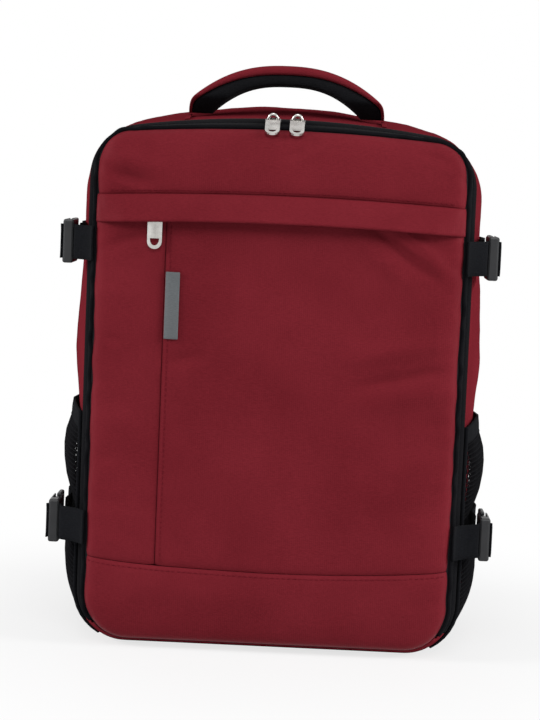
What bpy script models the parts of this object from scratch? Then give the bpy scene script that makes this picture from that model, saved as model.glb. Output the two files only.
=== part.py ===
"""Travel backpack: a panel-loading cabin bag with a zipped front lid, side-release compression
straps, mesh side pockets, a padded carry handle and padded shoulder straps.

Metres, +Z up. The bag stands on z = 0 with its lid facing -Y and its back panel facing +Y."""

import math

import bmesh
import bpy
from mathutils import Vector

# Driving sizes of the bag
BODY_WIDTH = 0.306
BODY_HEIGHT = 0.400
TOP_ARCH_RADIUS = 0.420
LID_ARCH_RADIUS = 1.300
TOP_CORNER_RADIUS = 0.060
TOP_CORNER_LEAST = 0.012
TOP_CORNER_TIGHTEN = 1.75
BOTTOM_CORNER_RADIUS = 0.042
LID_BACK_Y = -0.0863
LID_CROWN = 0.0147
GUSSET_FRONT_Y = -0.0620
GUSSET_BACK_Y = 0.0850
FULLEST_Y = 0.0200
EDGE_INSET = 0.0195
ZIP_INSET = 0.0121
REAR_INSET = 0.0100
FLOOR_RELIEF = 0.0150
GAP = 0.0003
SEAM = 0.0008

# Wall and cloth thicknesses
GUSSET_WALL = 0.0030
CLOTH = 0.0014
TAPE = 0.0010
BOARD = 0.0022
BACK_PANEL_DEPTH = 0.0090
BACK_PAD_DEPTH = 0.0110
BACK_PAD_MARGIN = 0.0500
BASE_BOARD_MARGIN = 0.0550
ZIP_SPLIT = 0.0010

# Lid panels: places of the seams, from the top or the foot of the bag
FLAP_SEAM_DROP = 0.0690
FLAP_HEIGHT = 0.0190
FLAP_LIFT = 0.0078
FLAP_MARGIN = 0.0215
FLAP_COVERS = 0.0020
POCKET_ZIP_MARGIN = 0.0370
POCKET_ZIP_DROP = 0.0065
POCKET_SLIDER_INSET = 0.0270
POCKET_SLIDER_RISE = 0.0055
BOTTOM_SEAM_Z = 0.0660
UPRIGHT_SEAM_INSET = 0.0720
LABEL_SIZE = (0.0105, 0.0012, 0.0480)
LABEL_DROP = 0.0365

# Compression straps
WEB_WIDTH = 0.0250
WEB = 0.0014
UPPER_STRAP_DROP = 0.1070
LOWER_STRAP_Z = 0.0860
BUCKLE_HEIGHT = 0.0320
BUCKLE_DEPTH = 0.0080
HOUSING_FRONT_Y = -0.0660
HOUSING_LENGTH = 0.0300
HOUSING_PLATE = 0.0016
BLOCK_LENGTH = 0.0095
PLUG_BASE_LENGTH = 0.0170
ARM_LENGTH = 0.0185
ARM_WIDTH = 0.0042
ARM_OFFSET = 0.0100
BUTTON_REACH = 0.0150
PLUG_PLAY = 0.0005
RELEASE = 0.0200
WEB_SLOT = 0.0030
BAR_WIDTH = 0.0030
GUIDE_WIDTH = 0.0040

# Mesh side pockets
POCKET_FRONT_Y = -0.0480
POCKET_BACK_Y = 0.0700
POCKET_LOW_Z = 0.0460
POCKET_HIGH_Z = 0.1510
POCKET_FULLNESS = 0.0080
POCKET_PINCH = 0.30
POCKET_SPRING = 0.0300
POCKET_MESH = 0.0011
BAND_HEIGHT = 0.0110

# Carry handle
HANDLE_SPAN = 0.1440
HANDLE_RISE = 0.0380
HANDLE_LIFT = 0.0016
HANDLE_Y = -0.0380
HANDLE_WIDTH = 0.0340
HANDLE_FOOT_WIDTH = 0.0040
HANDLE_FLARE = 1.7
HANDLE_COVER = 0.0068
HANDLE_PAD = 0.0080
HANDLE_SQUARENESS = 0.92
HANDLE_SLOPE = 1.10

# Zip sliders and their pulls
SLIDER_LENGTH = 0.0110
SLIDER_WIDTH = 0.0090
SLIDER_HEIGHT = 0.0036
SLIDER_X = 0.0088
PULL_LENGTH = 0.0200
PULL_WIDTH = 0.0105
PULL = 0.0014
PULL_REACH = 0.0016
PULL_HANG = math.radians(30)

# Shoulder straps
SHOULDER_WIDTH = 0.0580
SHOULDER_PAD = 0.0100
SHOULDER_INSET = 0.1050
SHOULDER_DROP = 0.0440
SHOULDER_END_Z = 0.1340
SHOULDER_SPREAD = 0.0360
ANCHOR_INSET = 0.0450
ANCHOR_Z = 0.0340
ADJUSTER = (0.0340, 0.0060, 0.0260)
YOKE_HEIGHT = 0.0180
ANCHOR_WIDTH = 0.0360
ANCHOR_HEIGHT = 0.0180

# Derived places
LID_EDGE_Y = LID_BACK_Y + GAP
ZIP_Y = (LID_EDGE_Y + GUSSET_FRONT_Y) / 2
BACK_Y = GUSSET_BACK_Y + GAP + BACK_PANEL_DEPTH
HALF_WIDTH = BODY_WIDTH / 2
FLAP_WIDTH = BODY_WIDTH - 2 * FLAP_MARGIN
POCKET_ZIP_WIDTH = BODY_WIDTH - 2 * POCKET_ZIP_MARGIN
UPRIGHT_SEAM_X = UPRIGHT_SEAM_INSET - HALF_WIDTH
SHOULDER_TOP_X = HALF_WIDTH - SHOULDER_INSET
ANCHOR_X = HALF_WIDTH - ANCHOR_INSET
FLAP_HIGH_Z = BODY_HEIGHT - FLAP_SEAM_DROP
FLAP_LOW_Z = FLAP_HIGH_Z - FLAP_HEIGHT
POCKET_ZIP_HIGH_Z = FLAP_HIGH_Z - POCKET_ZIP_DROP
POCKET_SLIDER_X = POCKET_SLIDER_INSET - POCKET_ZIP_WIDTH / 2
LABEL_LOW_Z = FLAP_LOW_Z - LABEL_DROP - LABEL_SIZE[2]
UPPER_STRAP_Z = BODY_HEIGHT - UPPER_STRAP_DROP
SHOULDER_TOP_Z = BODY_HEIGHT - SHOULDER_DROP

CLOTH_RED = (0.165, 0.013, 0.021)
CLOTH_BLACK = (0.008, 0.008, 0.009)
PLASTIC_BLACK = (0.012, 0.012, 0.013)
NICKEL = (0.62, 0.60, 0.57)
LABEL_GREY = (0.15, 0.16, 0.16)


def clear_scene():
    for old in list(bpy.data.objects):
        bpy.data.objects.remove(old)


def new_collection(name, hidden=False):
    made = bpy.data.collections.new(name)
    made.hide_render = hidden
    bpy.context.scene.collection.children.link(made)
    return made


def material(name, colour, roughness, metallic=0.0):
    found = bpy.data.materials.get(name)
    if found:
        return found
    made = bpy.data.materials.new(name)
    made.use_nodes = True
    shader = made.node_tree.nodes["Principled BSDF"]
    shader.inputs["Base Color"].default_value = (*colour, 1)
    shader.inputs["Roughness"].default_value = roughness
    shader.inputs["Metallic"].default_value = metallic
    return made


def red_cloth():
    return material("burgundy_cloth", CLOTH_RED, 0.55)


def black_cloth():
    return material("black_cloth", CLOTH_BLACK, 0.8)


def black_plastic():
    return material("black_plastic", PLASTIC_BLACK, 0.4)


def nickel():
    return material("nickel", NICKEL, 0.25, 1.0)


clear_scene()
BAG = new_collection("travel_backpack")
CUTTERS = new_collection("cutters", hidden=True)


def add_object(name, bm, finish, collection=None):
    """A mesh object from a bmesh, with its faces pointing out."""
    bmesh.ops.recalc_face_normals(bm, faces=bm.faces)
    mesh = bpy.data.meshes.new(name)
    bm.to_mesh(mesh)
    bm.free()
    made = bpy.data.objects.new(name, mesh)
    if finish:
        mesh.materials.append(finish)
    (collection or BAG).objects.link(made)
    mesh.shade_smooth()
    mesh.set_sharp_from_angle(angle=math.radians(40))
    return made


def thicken(obj, thickness, offset):
    """offset -1 grows the wall behind the faces, and 1 in front of them."""
    wall = obj.modifiers.new("wall", "SOLIDIFY")
    wall.thickness = thickness
    wall.offset = offset
    wall.use_even_offset = True
    return obj


def inset_at(y):
    """How far the bag's outline is drawn in from its fullest section, at a depth y."""
    stations = [(LID_BACK_Y, EDGE_INSET), (GUSSET_FRONT_Y, ZIP_INSET), (FULLEST_Y, 0.0),
                (GUSSET_BACK_Y * 0.6, REAR_INSET * 0.2), (GUSSET_BACK_Y, REAR_INSET)]
    if y <= stations[0][0]:
        return EDGE_INSET
    for (y0, a), (y1, b) in zip(stations, stations[1:]):
        if y <= y1:
            return a + (b - a) * (y - y0) / (y1 - y0)
    return REAR_INSET


def arch_at(inset):
    """The radius of the arched top, which is rounder at the fullest section and flatter at the lid."""
    share = min(1.0, inset / EDGE_INSET)
    return 1 / ((1 - share) / TOP_ARCH_RADIUS + share / LID_ARCH_RADIUS)


def outline(inset, arc_steps=5):
    """The bag's outline as (x, z) points, from the bottom centre round the right side, over the
    arched top and down the left. The corners are tangent to the sides and to the arch."""
    half = HALF_WIDTH - inset
    low = max(0.0, inset - FLOOR_RELIEF)
    crown = BODY_HEIGHT - inset
    beyond = max(0.0, inset - EDGE_INSET - SEAM)
    top_r = max(TOP_CORNER_LEAST, TOP_CORNER_RADIUS - (inset - beyond) * TOP_CORNER_TIGHTEN - beyond)
    low_r = BOTTOM_CORNER_RADIUS - inset * 0.5
    arch_r = arch_at(inset)
    arch_z = crown - arch_r
    corner_x = half - top_r
    corner_z = arch_z + math.sqrt((arch_r - top_r) ** 2 - corner_x ** 2)
    lean = math.atan2(corner_z - arch_z, corner_x)
    right = [(0.0, low), ((half - low_r) / 2, low)]
    for i in range(arc_steps + 1):
        a = -math.pi / 2 * (1 - i / arc_steps)
        right.append((half - low_r + low_r * math.cos(a), low + low_r + low_r * math.sin(a)))
    side_low = low + low_r
    for i in range(1, 4):
        right.append((half, side_low + (corner_z - side_low) * i / 4))
    for i in range(arc_steps + 1):
        a = lean * i / arc_steps
        right.append((corner_x + top_r * math.cos(a), corner_z + top_r * math.sin(a)))
    for i in range(1, 5):
        a = lean + (math.pi / 2 - lean) * i / 4
        right.append((arch_r * math.cos(a), arch_z + arch_r * math.sin(a)))
    right[-1] = (0.0, crown)
    left = [(-x, z) for x, z in reversed(right[1:-1])]
    return right + left


ZIP_FIRST = 5
RING = outline(0.0)
ZIP_LAST = len(RING) - ZIP_FIRST


def stretch_of(points, first, last, trim):
    """The points of an outline from first to last, with both ends drawn in by trim."""
    stretch = [Vector(points[i % len(points)]) for i in range(first, last + 1)]
    stretch[0] += (stretch[1] - stretch[0]).normalized() * trim
    stretch[-1] += (stretch[-2] - stretch[-1]).normalized() * trim
    return stretch


def loft(name, stations, finish, first=0, last=None, front_cap=False, back_cap=False):
    """A surface through outlines at (y, inset) stations. first and last cut a stretch of it."""
    bm = bmesh.new()
    rows = []
    for y, inset in stations:
        points = outline(inset)
        stretch = points if last is None else stretch_of(points, first, last, SEAM)
        rows.append([bm.verts.new((x, y, z)) for x, z in stretch])
    count = len(rows[0])
    for row, other in zip(rows, rows[1:]):
        for i in range(count if last is None else count - 1):
            j = (i + 1) % count
            bm.faces.new((row[i], row[j], other[j], other[i]))
    if front_cap:
        bm.faces.new(rows[0])
    if back_cap:
        bm.faces.new(rows[-1])
    return add_object(name, bm, finish)


def face_out(obj):
    """Turns an open surface so that its faces look away from the bag's middle."""
    mesh = obj.data
    middle = Vector((0, (GUSSET_FRONT_Y + GUSSET_BACK_Y) / 2, BODY_HEIGHT / 2))
    inward = sum(1 for f in mesh.polygons if f.normal.dot(f.center - middle) < 0)
    if inward > len(mesh.polygons) / 2:
        mesh.flip_normals()
    return obj


def box(name, low, high, finish, bevel=0.0, collection=None):
    bm = bmesh.new()
    bmesh.ops.create_cube(bm, size=1.0)
    low, high = Vector(low), Vector(high)
    for v in bm.verts:
        v.co = Vector((low[k] if v.co[k] < 0 else high[k] for k in range(3)))
    made = add_object(name, bm, finish, collection)
    if bevel:
        rounding = made.modifiers.new("rounding", "BEVEL")
        rounding.width = bevel
        rounding.segments = 2
    return made


def ribbon(name, points, low, high, thickness, finish):
    """A flat strap that runs along points, its path in (x, y), and stands from low to high."""
    bm = bmesh.new()
    rows = []
    for level in (low, high):
        rows.append([bm.verts.new((p[0], p[1], level)) for p in points])
    for i in range(len(points) - 1):
        bm.faces.new((rows[0][i], rows[0][i + 1], rows[1][i + 1], rows[1][i]))
    made = add_object(name, bm, finish)
    return thicken(made, thickness, 0.0)


def smooth_path(points, steps=3):
    """Extra points along a Catmull-Rom curve through the given ones."""
    ends = [Vector(points[0])] + [Vector(p) for p in points] + [Vector(points[-1])]
    made = []
    for a, b, c, d in zip(ends, ends[1:], ends[2:], ends[3:]):
        for i in range(steps):
            t = i / steps
            made.append(0.5 * (2 * b + (c - a) * t + (2 * a - 5 * b + 4 * c - d) * t ** 2
                               + (3 * b - a - 3 * c + d) * t ** 3))
    return made + [Vector(points[-1])]


def cut(obj, cutter):
    """Takes the cutter's volume out of obj."""
    taken = obj.modifiers.new("cut", "BOOLEAN")
    taken.object = cutter
    cutter.hide_render = True
    cutter.display_type = "WIRE"


def keep_beyond(obj, axis, level, side):
    """Cuts a surface at a level on one axis, and keeps the side (1 or -1) beyond it, open there."""
    plane_point, plane_normal = Vector((0, 0, 0)), Vector((0, 0, 0))
    plane_point[axis] = level
    plane_normal[axis] = side
    bm = bmesh.new()
    bm.from_mesh(obj.data)
    geometry = bm.verts[:] + bm.edges[:] + bm.faces[:]
    bmesh.ops.bisect_plane(bm, geom=geometry, plane_co=plane_point, plane_no=plane_normal, clear_inner=True)
    bm.to_mesh(obj.data)
    bm.free()


def panel(name, shell, low=None, high=None, left=None, right=None, finish=None):
    """One cloth panel of the lid, cut from the lid's crowned front surface."""
    made = loft(name, shell, finish or red_cloth(), front_cap=True)
    for axis, level, side in ((2, low, 1), (2, high, -1), (0, left, 1), (0, right, -1)):
        if level is not None:
            keep_beyond(made, axis, level, side)
    return face_out(made)


def lid_profile(sunk=0.0):
    """(y, inset) stations of the lid's crowned front, from its crown back to its edge."""
    shares = ((1.0, 0.0450), (0.90, 0.0200), (0.72, 0.0070), (0.38, 0.0015), (0.0, 0.0))
    depth = LID_CROWN - sunk
    return [(LID_BACK_Y - depth * share, EDGE_INSET + SEAM + sunk + inset) for share, inset in shares]


def build_shell():
    """The gusset, the back of the bag and the boards that stiffen it."""
    depths = (GUSSET_FRONT_Y, GUSSET_FRONT_Y / 2, FULLEST_Y, GUSSET_BACK_Y * 0.6, GUSSET_BACK_Y)
    thicken(face_out(loft("gusset", [(y, inset_at(y)) for y in depths], red_cloth())), GUSSET_WALL, -1)
    back = [(GUSSET_BACK_Y + GAP, REAR_INSET), (BACK_Y - 0.003, REAR_INSET + 0.001),
            (BACK_Y, REAR_INSET + 0.005)]
    loft("back_panel", back, black_cloth(), front_cap=True, back_cap=True)
    board = REAR_INSET + GUSSET_WALL + 0.0065
    loft("back_board", [(GUSSET_BACK_Y - BOARD, board), (GUSSET_BACK_Y, board)], black_plastic(),
         front_cap=True, back_cap=True)
    floor = GUSSET_WALL + max(0.0, ZIP_INSET - FLOOR_RELIEF) + GAP
    half = HALF_WIDTH - BASE_BOARD_MARGIN
    box("base_board", (-half, GUSSET_FRONT_Y + 0.006, floor), (half, GUSSET_BACK_Y - 0.016, floor + BOARD),
        black_plastic())
    strip = [(LID_EDGE_Y, EDGE_INSET), (GUSSET_FRONT_Y - SEAM, inset_at(GUSSET_FRONT_Y))]
    strip_cloth = loft("bottom_front_strip", strip, red_cloth(), ZIP_LAST, ZIP_FIRST + len(RING))
    thicken(face_out(strip_cloth), CLOTH, -1)
    pad = REAR_INSET + BACK_PAD_MARGIN
    back_pad = [(BACK_Y + GAP, pad), (BACK_Y + BACK_PAD_DEPTH * 0.6, pad),
                (BACK_Y + BACK_PAD_DEPTH, pad + 0.010)]
    loft("back_pad", back_pad, black_cloth(), front_cap=True, back_cap=True)


def build_zip():
    """The main zip: one tape with its coil on the lid, and the other on the gusset."""
    lid_stations = (LID_EDGE_Y, ZIP_Y - ZIP_SPLIT / 2)
    body_stations = (ZIP_Y + ZIP_SPLIT / 2, GUSSET_FRONT_Y - SEAM)
    for side, (front, back) in (("lid", lid_stations), ("gusset", body_stations)):
        tape = [(front, inset_at(front)), (back, inset_at(back))]
        thicken(face_out(loft(f"zip_tape_{side}", tape, black_cloth(), ZIP_FIRST, ZIP_LAST)), TAPE, -1)


def build_lid():
    """The lid's padded core, its cloth panels, the pocket zip, the flap over it and the label."""
    sunk = CLOTH + GAP
    shell = lid_profile()
    loft("lid_core", lid_profile(sunk), black_cloth(), front_cap=True, back_cap=True)
    zip_low = FLAP_LOW_Z + FLAP_COVERS
    seam = SEAM / 2
    pocket = {"low": BOTTOM_SEAM_Z + seam, "high": zip_low - seam}
    parts = [
        panel("lid_upper_panel", shell, low=FLAP_HIGH_Z + seam),
        panel("pocket_panel_left", shell, right=UPRIGHT_SEAM_X - seam, **pocket),
        panel("pocket_panel_right", shell, left=UPRIGHT_SEAM_X + seam, **pocket),
        panel("lid_bottom_panel", shell, high=BOTTOM_SEAM_Z - seam),
        panel("pocket_zip_tape", shell, low=zip_low + seam, high=POCKET_ZIP_HIGH_Z,
              left=-POCKET_ZIP_WIDTH / 2, right=POCKET_ZIP_WIDTH / 2, finish=black_cloth()),
    ]
    for part in parts:
        thicken(part, CLOTH, -1)
    flap = panel("pocket_flap", shell, low=FLAP_LOW_Z, high=FLAP_HIGH_Z - seam, left=-FLAP_WIDTH / 2,
                 right=FLAP_WIDTH / 2)
    for v in flap.data.vertices:
        v.co.y -= 2 * GAP + FLAP_LIFT * (FLAP_HIGH_Z - v.co.z) / (FLAP_HIGH_Z - FLAP_LOW_Z)
    thicken(flap, CLOTH * 0.9, -1)
    wide, deep, tall = LABEL_SIZE
    face = LID_BACK_Y - LID_CROWN - GAP
    box("label_tab", (UPRIGHT_SEAM_X, face - deep, LABEL_LOW_Z),
        (UPRIGHT_SEAM_X + wide, face, LABEL_LOW_Z + tall), material("label_grey", LABEL_GREY, 0.7))


def pull_mesh(name, length, width):
    """A flat zip pull with a round end and a slot, from its pivot at the origin towards -Y."""
    bm = bmesh.new()
    radius = width / 2
    start = -0.0006
    points = [(-radius, start), (radius, start)]
    for i in range(9):
        a = -math.pi * i / 8
        points.append((radius * math.cos(a), -length + radius + radius * math.sin(a)))
    hole = [(x * 0.62, y * 0.84 - 0.0007) for x, y in points[2:]]
    hole = [(0.62 * radius, -length * 0.62), *hole[0:9], (-0.62 * radius, -length * 0.62)]
    rims = []
    for level in (-PULL / 2, PULL / 2):
        rims.append([[bm.verts.new((x, y, level)) for x, y in ring] for ring in (points, hole)])
    for outer_low, outer_high in zip(rims[0], rims[1]):
        count = len(outer_low)
        for i in range(count):
            j = (i + 1) % count
            bm.faces.new((outer_low[i], outer_low[j], outer_high[j], outer_high[i]))
    for outer, inner in rims:
        edges = []
        for ring in (outer, inner):
            for i in range(len(ring)):
                edge = bm.edges.get((ring[i], ring[(i + 1) % len(ring)]))
                edges.append(edge)
        bmesh.ops.triangle_fill(bm, use_beauty=True, edges=edges)
    return add_object(name, bm, nickel())


def slider_mesh(name):
    """A zip slider: a waisted block, seated on the tape at its origin, with a bridge over it."""
    made = box(name, (-SLIDER_LENGTH / 2, -SLIDER_WIDTH / 2, GAP),
               (SLIDER_LENGTH / 2, SLIDER_WIDTH / 2, GAP + SLIDER_HEIGHT * 0.62), nickel(), bevel=0.0008)
    bridge = box(name + "_bridge", (-SLIDER_LENGTH * 0.36, -0.0012, GAP + SLIDER_HEIGHT * 0.4),
                 (SLIDER_LENGTH * 0.36, 0.0012, GAP + SLIDER_HEIGHT), None, collection=CUTTERS)
    join = made.modifiers.new("bridge", "BOOLEAN")
    join.operation = "UNION"
    join.object = bridge
    bridge.parent = made
    bridge.hide_render = True
    bridge.display_type = "WIRE"
    return made


def build_main_sliders():
    """Two sliders that meet at the crown of the zip, with their pulls hanging over the lid's edge."""
    inset = inset_at(ZIP_Y)
    radius = arch_at(inset)
    centre_z = BODY_HEIGHT - inset - radius
    slope = math.atan2(inset_at(LID_EDGE_Y) - inset_at(GUSSET_FRONT_Y), GUSSET_FRONT_Y - LID_EDGE_Y)
    for side, sign in (("left", -1), ("right", 1)):
        turn = math.asin(sign * SLIDER_X / radius)
        place = Vector((radius * math.sin(turn), ZIP_Y, centre_z + radius * math.cos(turn)))
        seat = bpy.data.objects.new(f"zip_seat_{side}", None)
        BAG.objects.link(seat)
        seat.location = place
        seat.rotation_euler = (slope, turn, 0)
        slider_mesh(f"zip_slider_{side}").parent = seat
        pull = pull_mesh(f"zip_pull_{side}", PULL_LENGTH, PULL_WIDTH)
        pull.parent = seat
        pull.location = (0, -SLIDER_WIDTH / 2 - PULL_REACH, GAP + SLIDER_HEIGHT * 0.95)
        pull.rotation_euler = (PULL_HANG - slope, 0, 0)


def build_pocket_slider():
    """The pocket zip's slider, under the flap, with its pull hanging out below the flap's edge."""
    face = LID_BACK_Y - LID_CROWN
    seat = bpy.data.objects.new("pocket_zip_seat", None)
    BAG.objects.link(seat)
    seat.location = (POCKET_SLIDER_X, face, FLAP_LOW_Z + POCKET_SLIDER_RISE)
    seat.rotation_euler = (math.pi / 2, 0, 0)
    slider_mesh("pocket_zip_slider").parent = seat
    pull = pull_mesh("pocket_zip_pull", PULL_LENGTH, PULL_WIDTH)
    pull.parent = seat
    pull.location = (0, -SLIDER_WIDTH / 2 - PULL_REACH, GAP + PULL / 2)


def side_box(name, sign, depth, span_y, span_z, finish, bevel=0.0, collection=None):
    """A box on one side of the bag: depth is its (near, far) distance from the middle plane."""
    xs = sorted(sign * d for d in depth)
    return box(name, (xs[0], span_y[0], span_z[0]), (xs[1], span_y[1], span_z[1]), finish, bevel, collection)


def pocket_reach(y, z):
    """How far a mesh pocket's inner face stands out from the middle plane. The lower strap holds the
    pocket in, so it fills out only above the strap."""
    u = (y - POCKET_FRONT_Y) / (POCKET_BACK_Y - POCKET_FRONT_Y)
    across = math.sin(math.pi * u) ** 0.6
    low = min(1.0, (z - POCKET_LOW_Z) / POCKET_SPRING)
    free = min(1.0, max(0.0, z - LOWER_STRAP_Z - WEB_WIDTH / 2) / POCKET_SPRING)
    up = POCKET_PINCH * math.sin(math.pi / 2 * low) ** 0.7 + (1 - POCKET_PINCH) * free ** 2 * (3 - 2 * free)
    return HALF_WIDTH - inset_at(y) + 2 * GAP + (POCKET_FULLNESS - 2 * GAP) * across * up


def strap_bed(y, web_z):
    """How far out the middle of a side strap lies, on the gusset or over the mesh pocket."""
    bed = HALF_WIDTH - inset_at(y)
    if web_z[0] < POCKET_HIGH_Z and POCKET_FRONT_Y < y < POCKET_BACK_Y:
        bed = max(pocket_reach(y, z) for z in web_z) + POCKET_MESH + GAP
    return bed + 2 * GAP + WEB / 2


def build_buckle(place, sign, z, seat):
    """One side-release buckle and its two straps. seat is how far out its inner face lies."""
    far = seat + BUCKLE_DEPTH
    half = BUCKLE_HEIGHT / 2
    mouth = HOUSING_FRONT_Y + HOUSING_LENGTH
    inner, outer = seat + HOUSING_PLATE, far - HOUSING_PLATE
    plug = (inner + PLUG_PLAY, outer - PLUG_PLAY)
    web_z = (z - WEB_WIDTH / 2, z + WEB_WIDTH / 2)
    slot_mid = (seat + far) / 2

    housing = side_box(f"buckle_housing_{place}", sign, (seat, far), (HOUSING_FRONT_Y, mouth),
                       (z - half, z + half), black_plastic(), bevel=0.0016)
    cavity = side_box(f"cavity_{place}", sign, (inner, outer), (HOUSING_FRONT_Y + BLOCK_LENGTH, mouth + 0.01),
                      (z - half - 0.01, z + half + 0.01), None, collection=CUTTERS)
    bar_slot = side_box(f"bar_slot_{place}", sign, (seat - 0.01, far + 0.01),
                        (HOUSING_FRONT_Y + BAR_WIDTH, HOUSING_FRONT_Y + BAR_WIDTH + WEB_SLOT),
                        (web_z[0] - 0.0006, web_z[1] + 0.0006), None, collection=CUTTERS)
    cut(housing, cavity)
    cut(housing, bar_slot)

    base = side_box(f"buckle_plug_{place}", sign, plug, (mouth + GAP, mouth + GAP + PLUG_BASE_LENGTH),
                    (z - half, z + half), black_plastic(), bevel=0.0012)
    guide = side_box(f"guide_{place}", sign, (plug[0] + 0.0008, plug[1] - 0.0008),
                     (mouth - ARM_LENGTH, mouth + 0.004), (z - GUIDE_WIDTH / 2, z + GUIDE_WIDTH / 2), None,
                     collection=CUTTERS)
    join = base.modifiers.new("guide", "BOOLEAN")
    join.operation = "UNION"
    join.object = guide
    guide.hide_render = True
    slot_y = mouth + GAP + PLUG_BASE_LENGTH - BAR_WIDTH - WEB_SLOT
    cut(base, side_box(f"plug_slot_{place}", sign, (seat - 0.01, far + 0.01), (slot_y, slot_y + WEB_SLOT),
                       (web_z[0] - 0.0006, web_z[1] + 0.0006), None, collection=CUTTERS))

    for end, up in (("upper", 1), ("lower", -1)):
        root_y = mouth - GAP
        tip_y = mouth - ARM_LENGTH
        arm_z = sorted((z + up * (ARM_OFFSET - ARM_WIDTH / 2), z + up * (ARM_OFFSET + ARM_WIDTH / 2)))
        arm = side_box(f"latch_arm_{place}_{end}", sign, plug, (tip_y, root_y), arm_z, black_plastic())
        button_z = sorted((z + up * ARM_OFFSET, z + up * BUTTON_REACH))
        button = side_box(f"button_{place}_{end}", sign, (plug[0] + 0.0003, plug[1] - 0.0003),
                          (tip_y + 0.001, tip_y + 0.0105), button_z, None, bevel=0.0012, collection=CUTTERS)
        join = arm.modifiers.new("button", "BOOLEAN")
        join.operation = "UNION"
        join.object = button
        button.hide_render = True

    lid_edge = HALF_WIDTH - EDGE_INSET
    stub = [(lid_edge + 0.0006, LID_BACK_Y - 0.0035), (lid_edge + 0.0022, LID_BACK_Y + 0.0010),
            (lid_edge + (slot_mid - lid_edge) * 0.36, LID_BACK_Y + 0.0075),
            (slot_mid - 0.0024, HOUSING_FRONT_Y - 0.0045), (slot_mid, HOUSING_FRONT_Y - WEB / 2)]
    web = smooth_path([(sign * x, y) for x, y in stub])
    ribbon(f"strap_stub_{place}", web, *web_z, WEB, black_cloth())
    run_x = seat - GAP - WEB / 2
    depths = (-0.012, 0.004, FULLEST_Y, GUSSET_BACK_Y * 0.6, POCKET_BACK_Y - 0.006, GUSSET_BACK_Y - 0.003)
    tail = [(run_x, mouth + 0.002)] + [(strap_bed(y, web_z), y) for y in depths]
    web = smooth_path([(sign * x, y) for x, y in tail])
    ribbon(f"side_strap_{place}", web, *web_z, WEB, black_cloth())


def build_straps():
    released = HOUSING_FRONT_Y + HOUSING_LENGTH + GAP + PLUG_BASE_LENGTH + RELEASE
    for level, z in (("upper", UPPER_STRAP_Z), ("lower", LOWER_STRAP_Z)):
        web_z = (z - WEB_WIDTH / 2, z + WEB_WIDTH / 2)
        seat = strap_bed(released, web_z) + WEB / 2 + 3 * GAP - HOUSING_PLATE - PLUG_PLAY
        for side, sign in (("left", -1), ("right", 1)):
            build_buckle(f"{level}_{side}", sign, z, seat)


def pocket_patch(name, sign, finish):
    """A mesh pocket's curved face, which stands away from the gusset."""
    bm = bmesh.new()
    columns, rows = 12, 10
    low, high = POCKET_LOW_Z, POCKET_HIGH_Z + BAND_HEIGHT
    grid = []
    for i in range(rows + 1):
        z = low + (high - low) * i / rows
        line = []
        for j in range(columns + 1):
            y = POCKET_FRONT_Y + (POCKET_BACK_Y - POCKET_FRONT_Y) * j / columns
            line.append(bm.verts.new((sign * pocket_reach(y, z), y, z)))
        grid.append(line)
    for line, above in zip(grid, grid[1:]):
        for j in range(columns):
            bm.faces.new((line[j], line[j + 1], above[j + 1], above[j]))
    made = add_object(name, bm, finish)
    return thicken(face_out(made), POCKET_MESH, 1)


def build_pockets():
    """A mesh pocket on each side, open at the top, with its elastic hem."""
    for side, sign in (("left", -1), ("right", 1)):
        pocket_patch(f"mesh_pocket_{side}", sign, black_cloth())


def top_of_gusset(x, y):
    inset = inset_at(y)
    radius = arch_at(inset)
    return BODY_HEIGHT - inset - radius + math.sqrt(radius ** 2 - x ** 2)


def handle_arch(depth, steps=24):
    """(x, height) points of the handle's arch, at a depth below its outer face."""
    outer = []
    for i in range(steps + 1):
        t = math.pi * i / steps
        x = -HANDLE_SPAN / 2 * math.copysign(abs(math.cos(t)) ** HANDLE_SQUARENESS, math.cos(t))
        outer.append(Vector((x, HANDLE_RISE * max(0.0, math.sin(t)) ** HANDLE_SLOPE)))
    points = []
    for i, p in enumerate(outer):
        at_end = i in (0, steps)
        along = Vector((0, 1 if i == 0 else -1)) if at_end else (outer[i + 1] - outer[i - 1]).normalized()
        points.append(p + Vector((along.y, -along.x)) * depth)
    return points


def handle_layer(name, depth, thickness, foot_z, finish):
    """One layer of the carry handle: an arched strap that narrows to its sewn ends."""
    bm = bmesh.new()
    rows = ([], [])
    points = handle_arch(depth)
    for x, height in points:
        half = min(HANDLE_WIDTH, HANDLE_FOOT_WIDTH + height * HANDLE_FLARE) / 2
        for row, sign in zip(rows, (-1, 1)):
            row.append(bm.verts.new((x, HANDLE_Y + sign * half, foot_z + height)))
    for i in range(len(points) - 1):
        bm.faces.new((rows[0][i], rows[0][i + 1], rows[1][i + 1], rows[1][i]))
    return thicken(add_object(name, bm, finish), thickness, 0.0)


def build_handle():
    """The padded carry handle, whose narrowed ends are sewn to the top of the gusset."""
    inner_foot = HANDLE_SPAN / 2 - HANDLE_COVER - HANDLE_PAD
    foot_z = top_of_gusset(inner_foot, HANDLE_Y) + HANDLE_LIFT
    handle_layer("handle_cover", HANDLE_COVER / 2, HANDLE_COVER, foot_z, red_cloth())
    handle_layer("handle_pad", HANDLE_COVER + HANDLE_PAD / 2 + 1.5 * GAP, HANDLE_PAD, foot_z, black_cloth())


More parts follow.
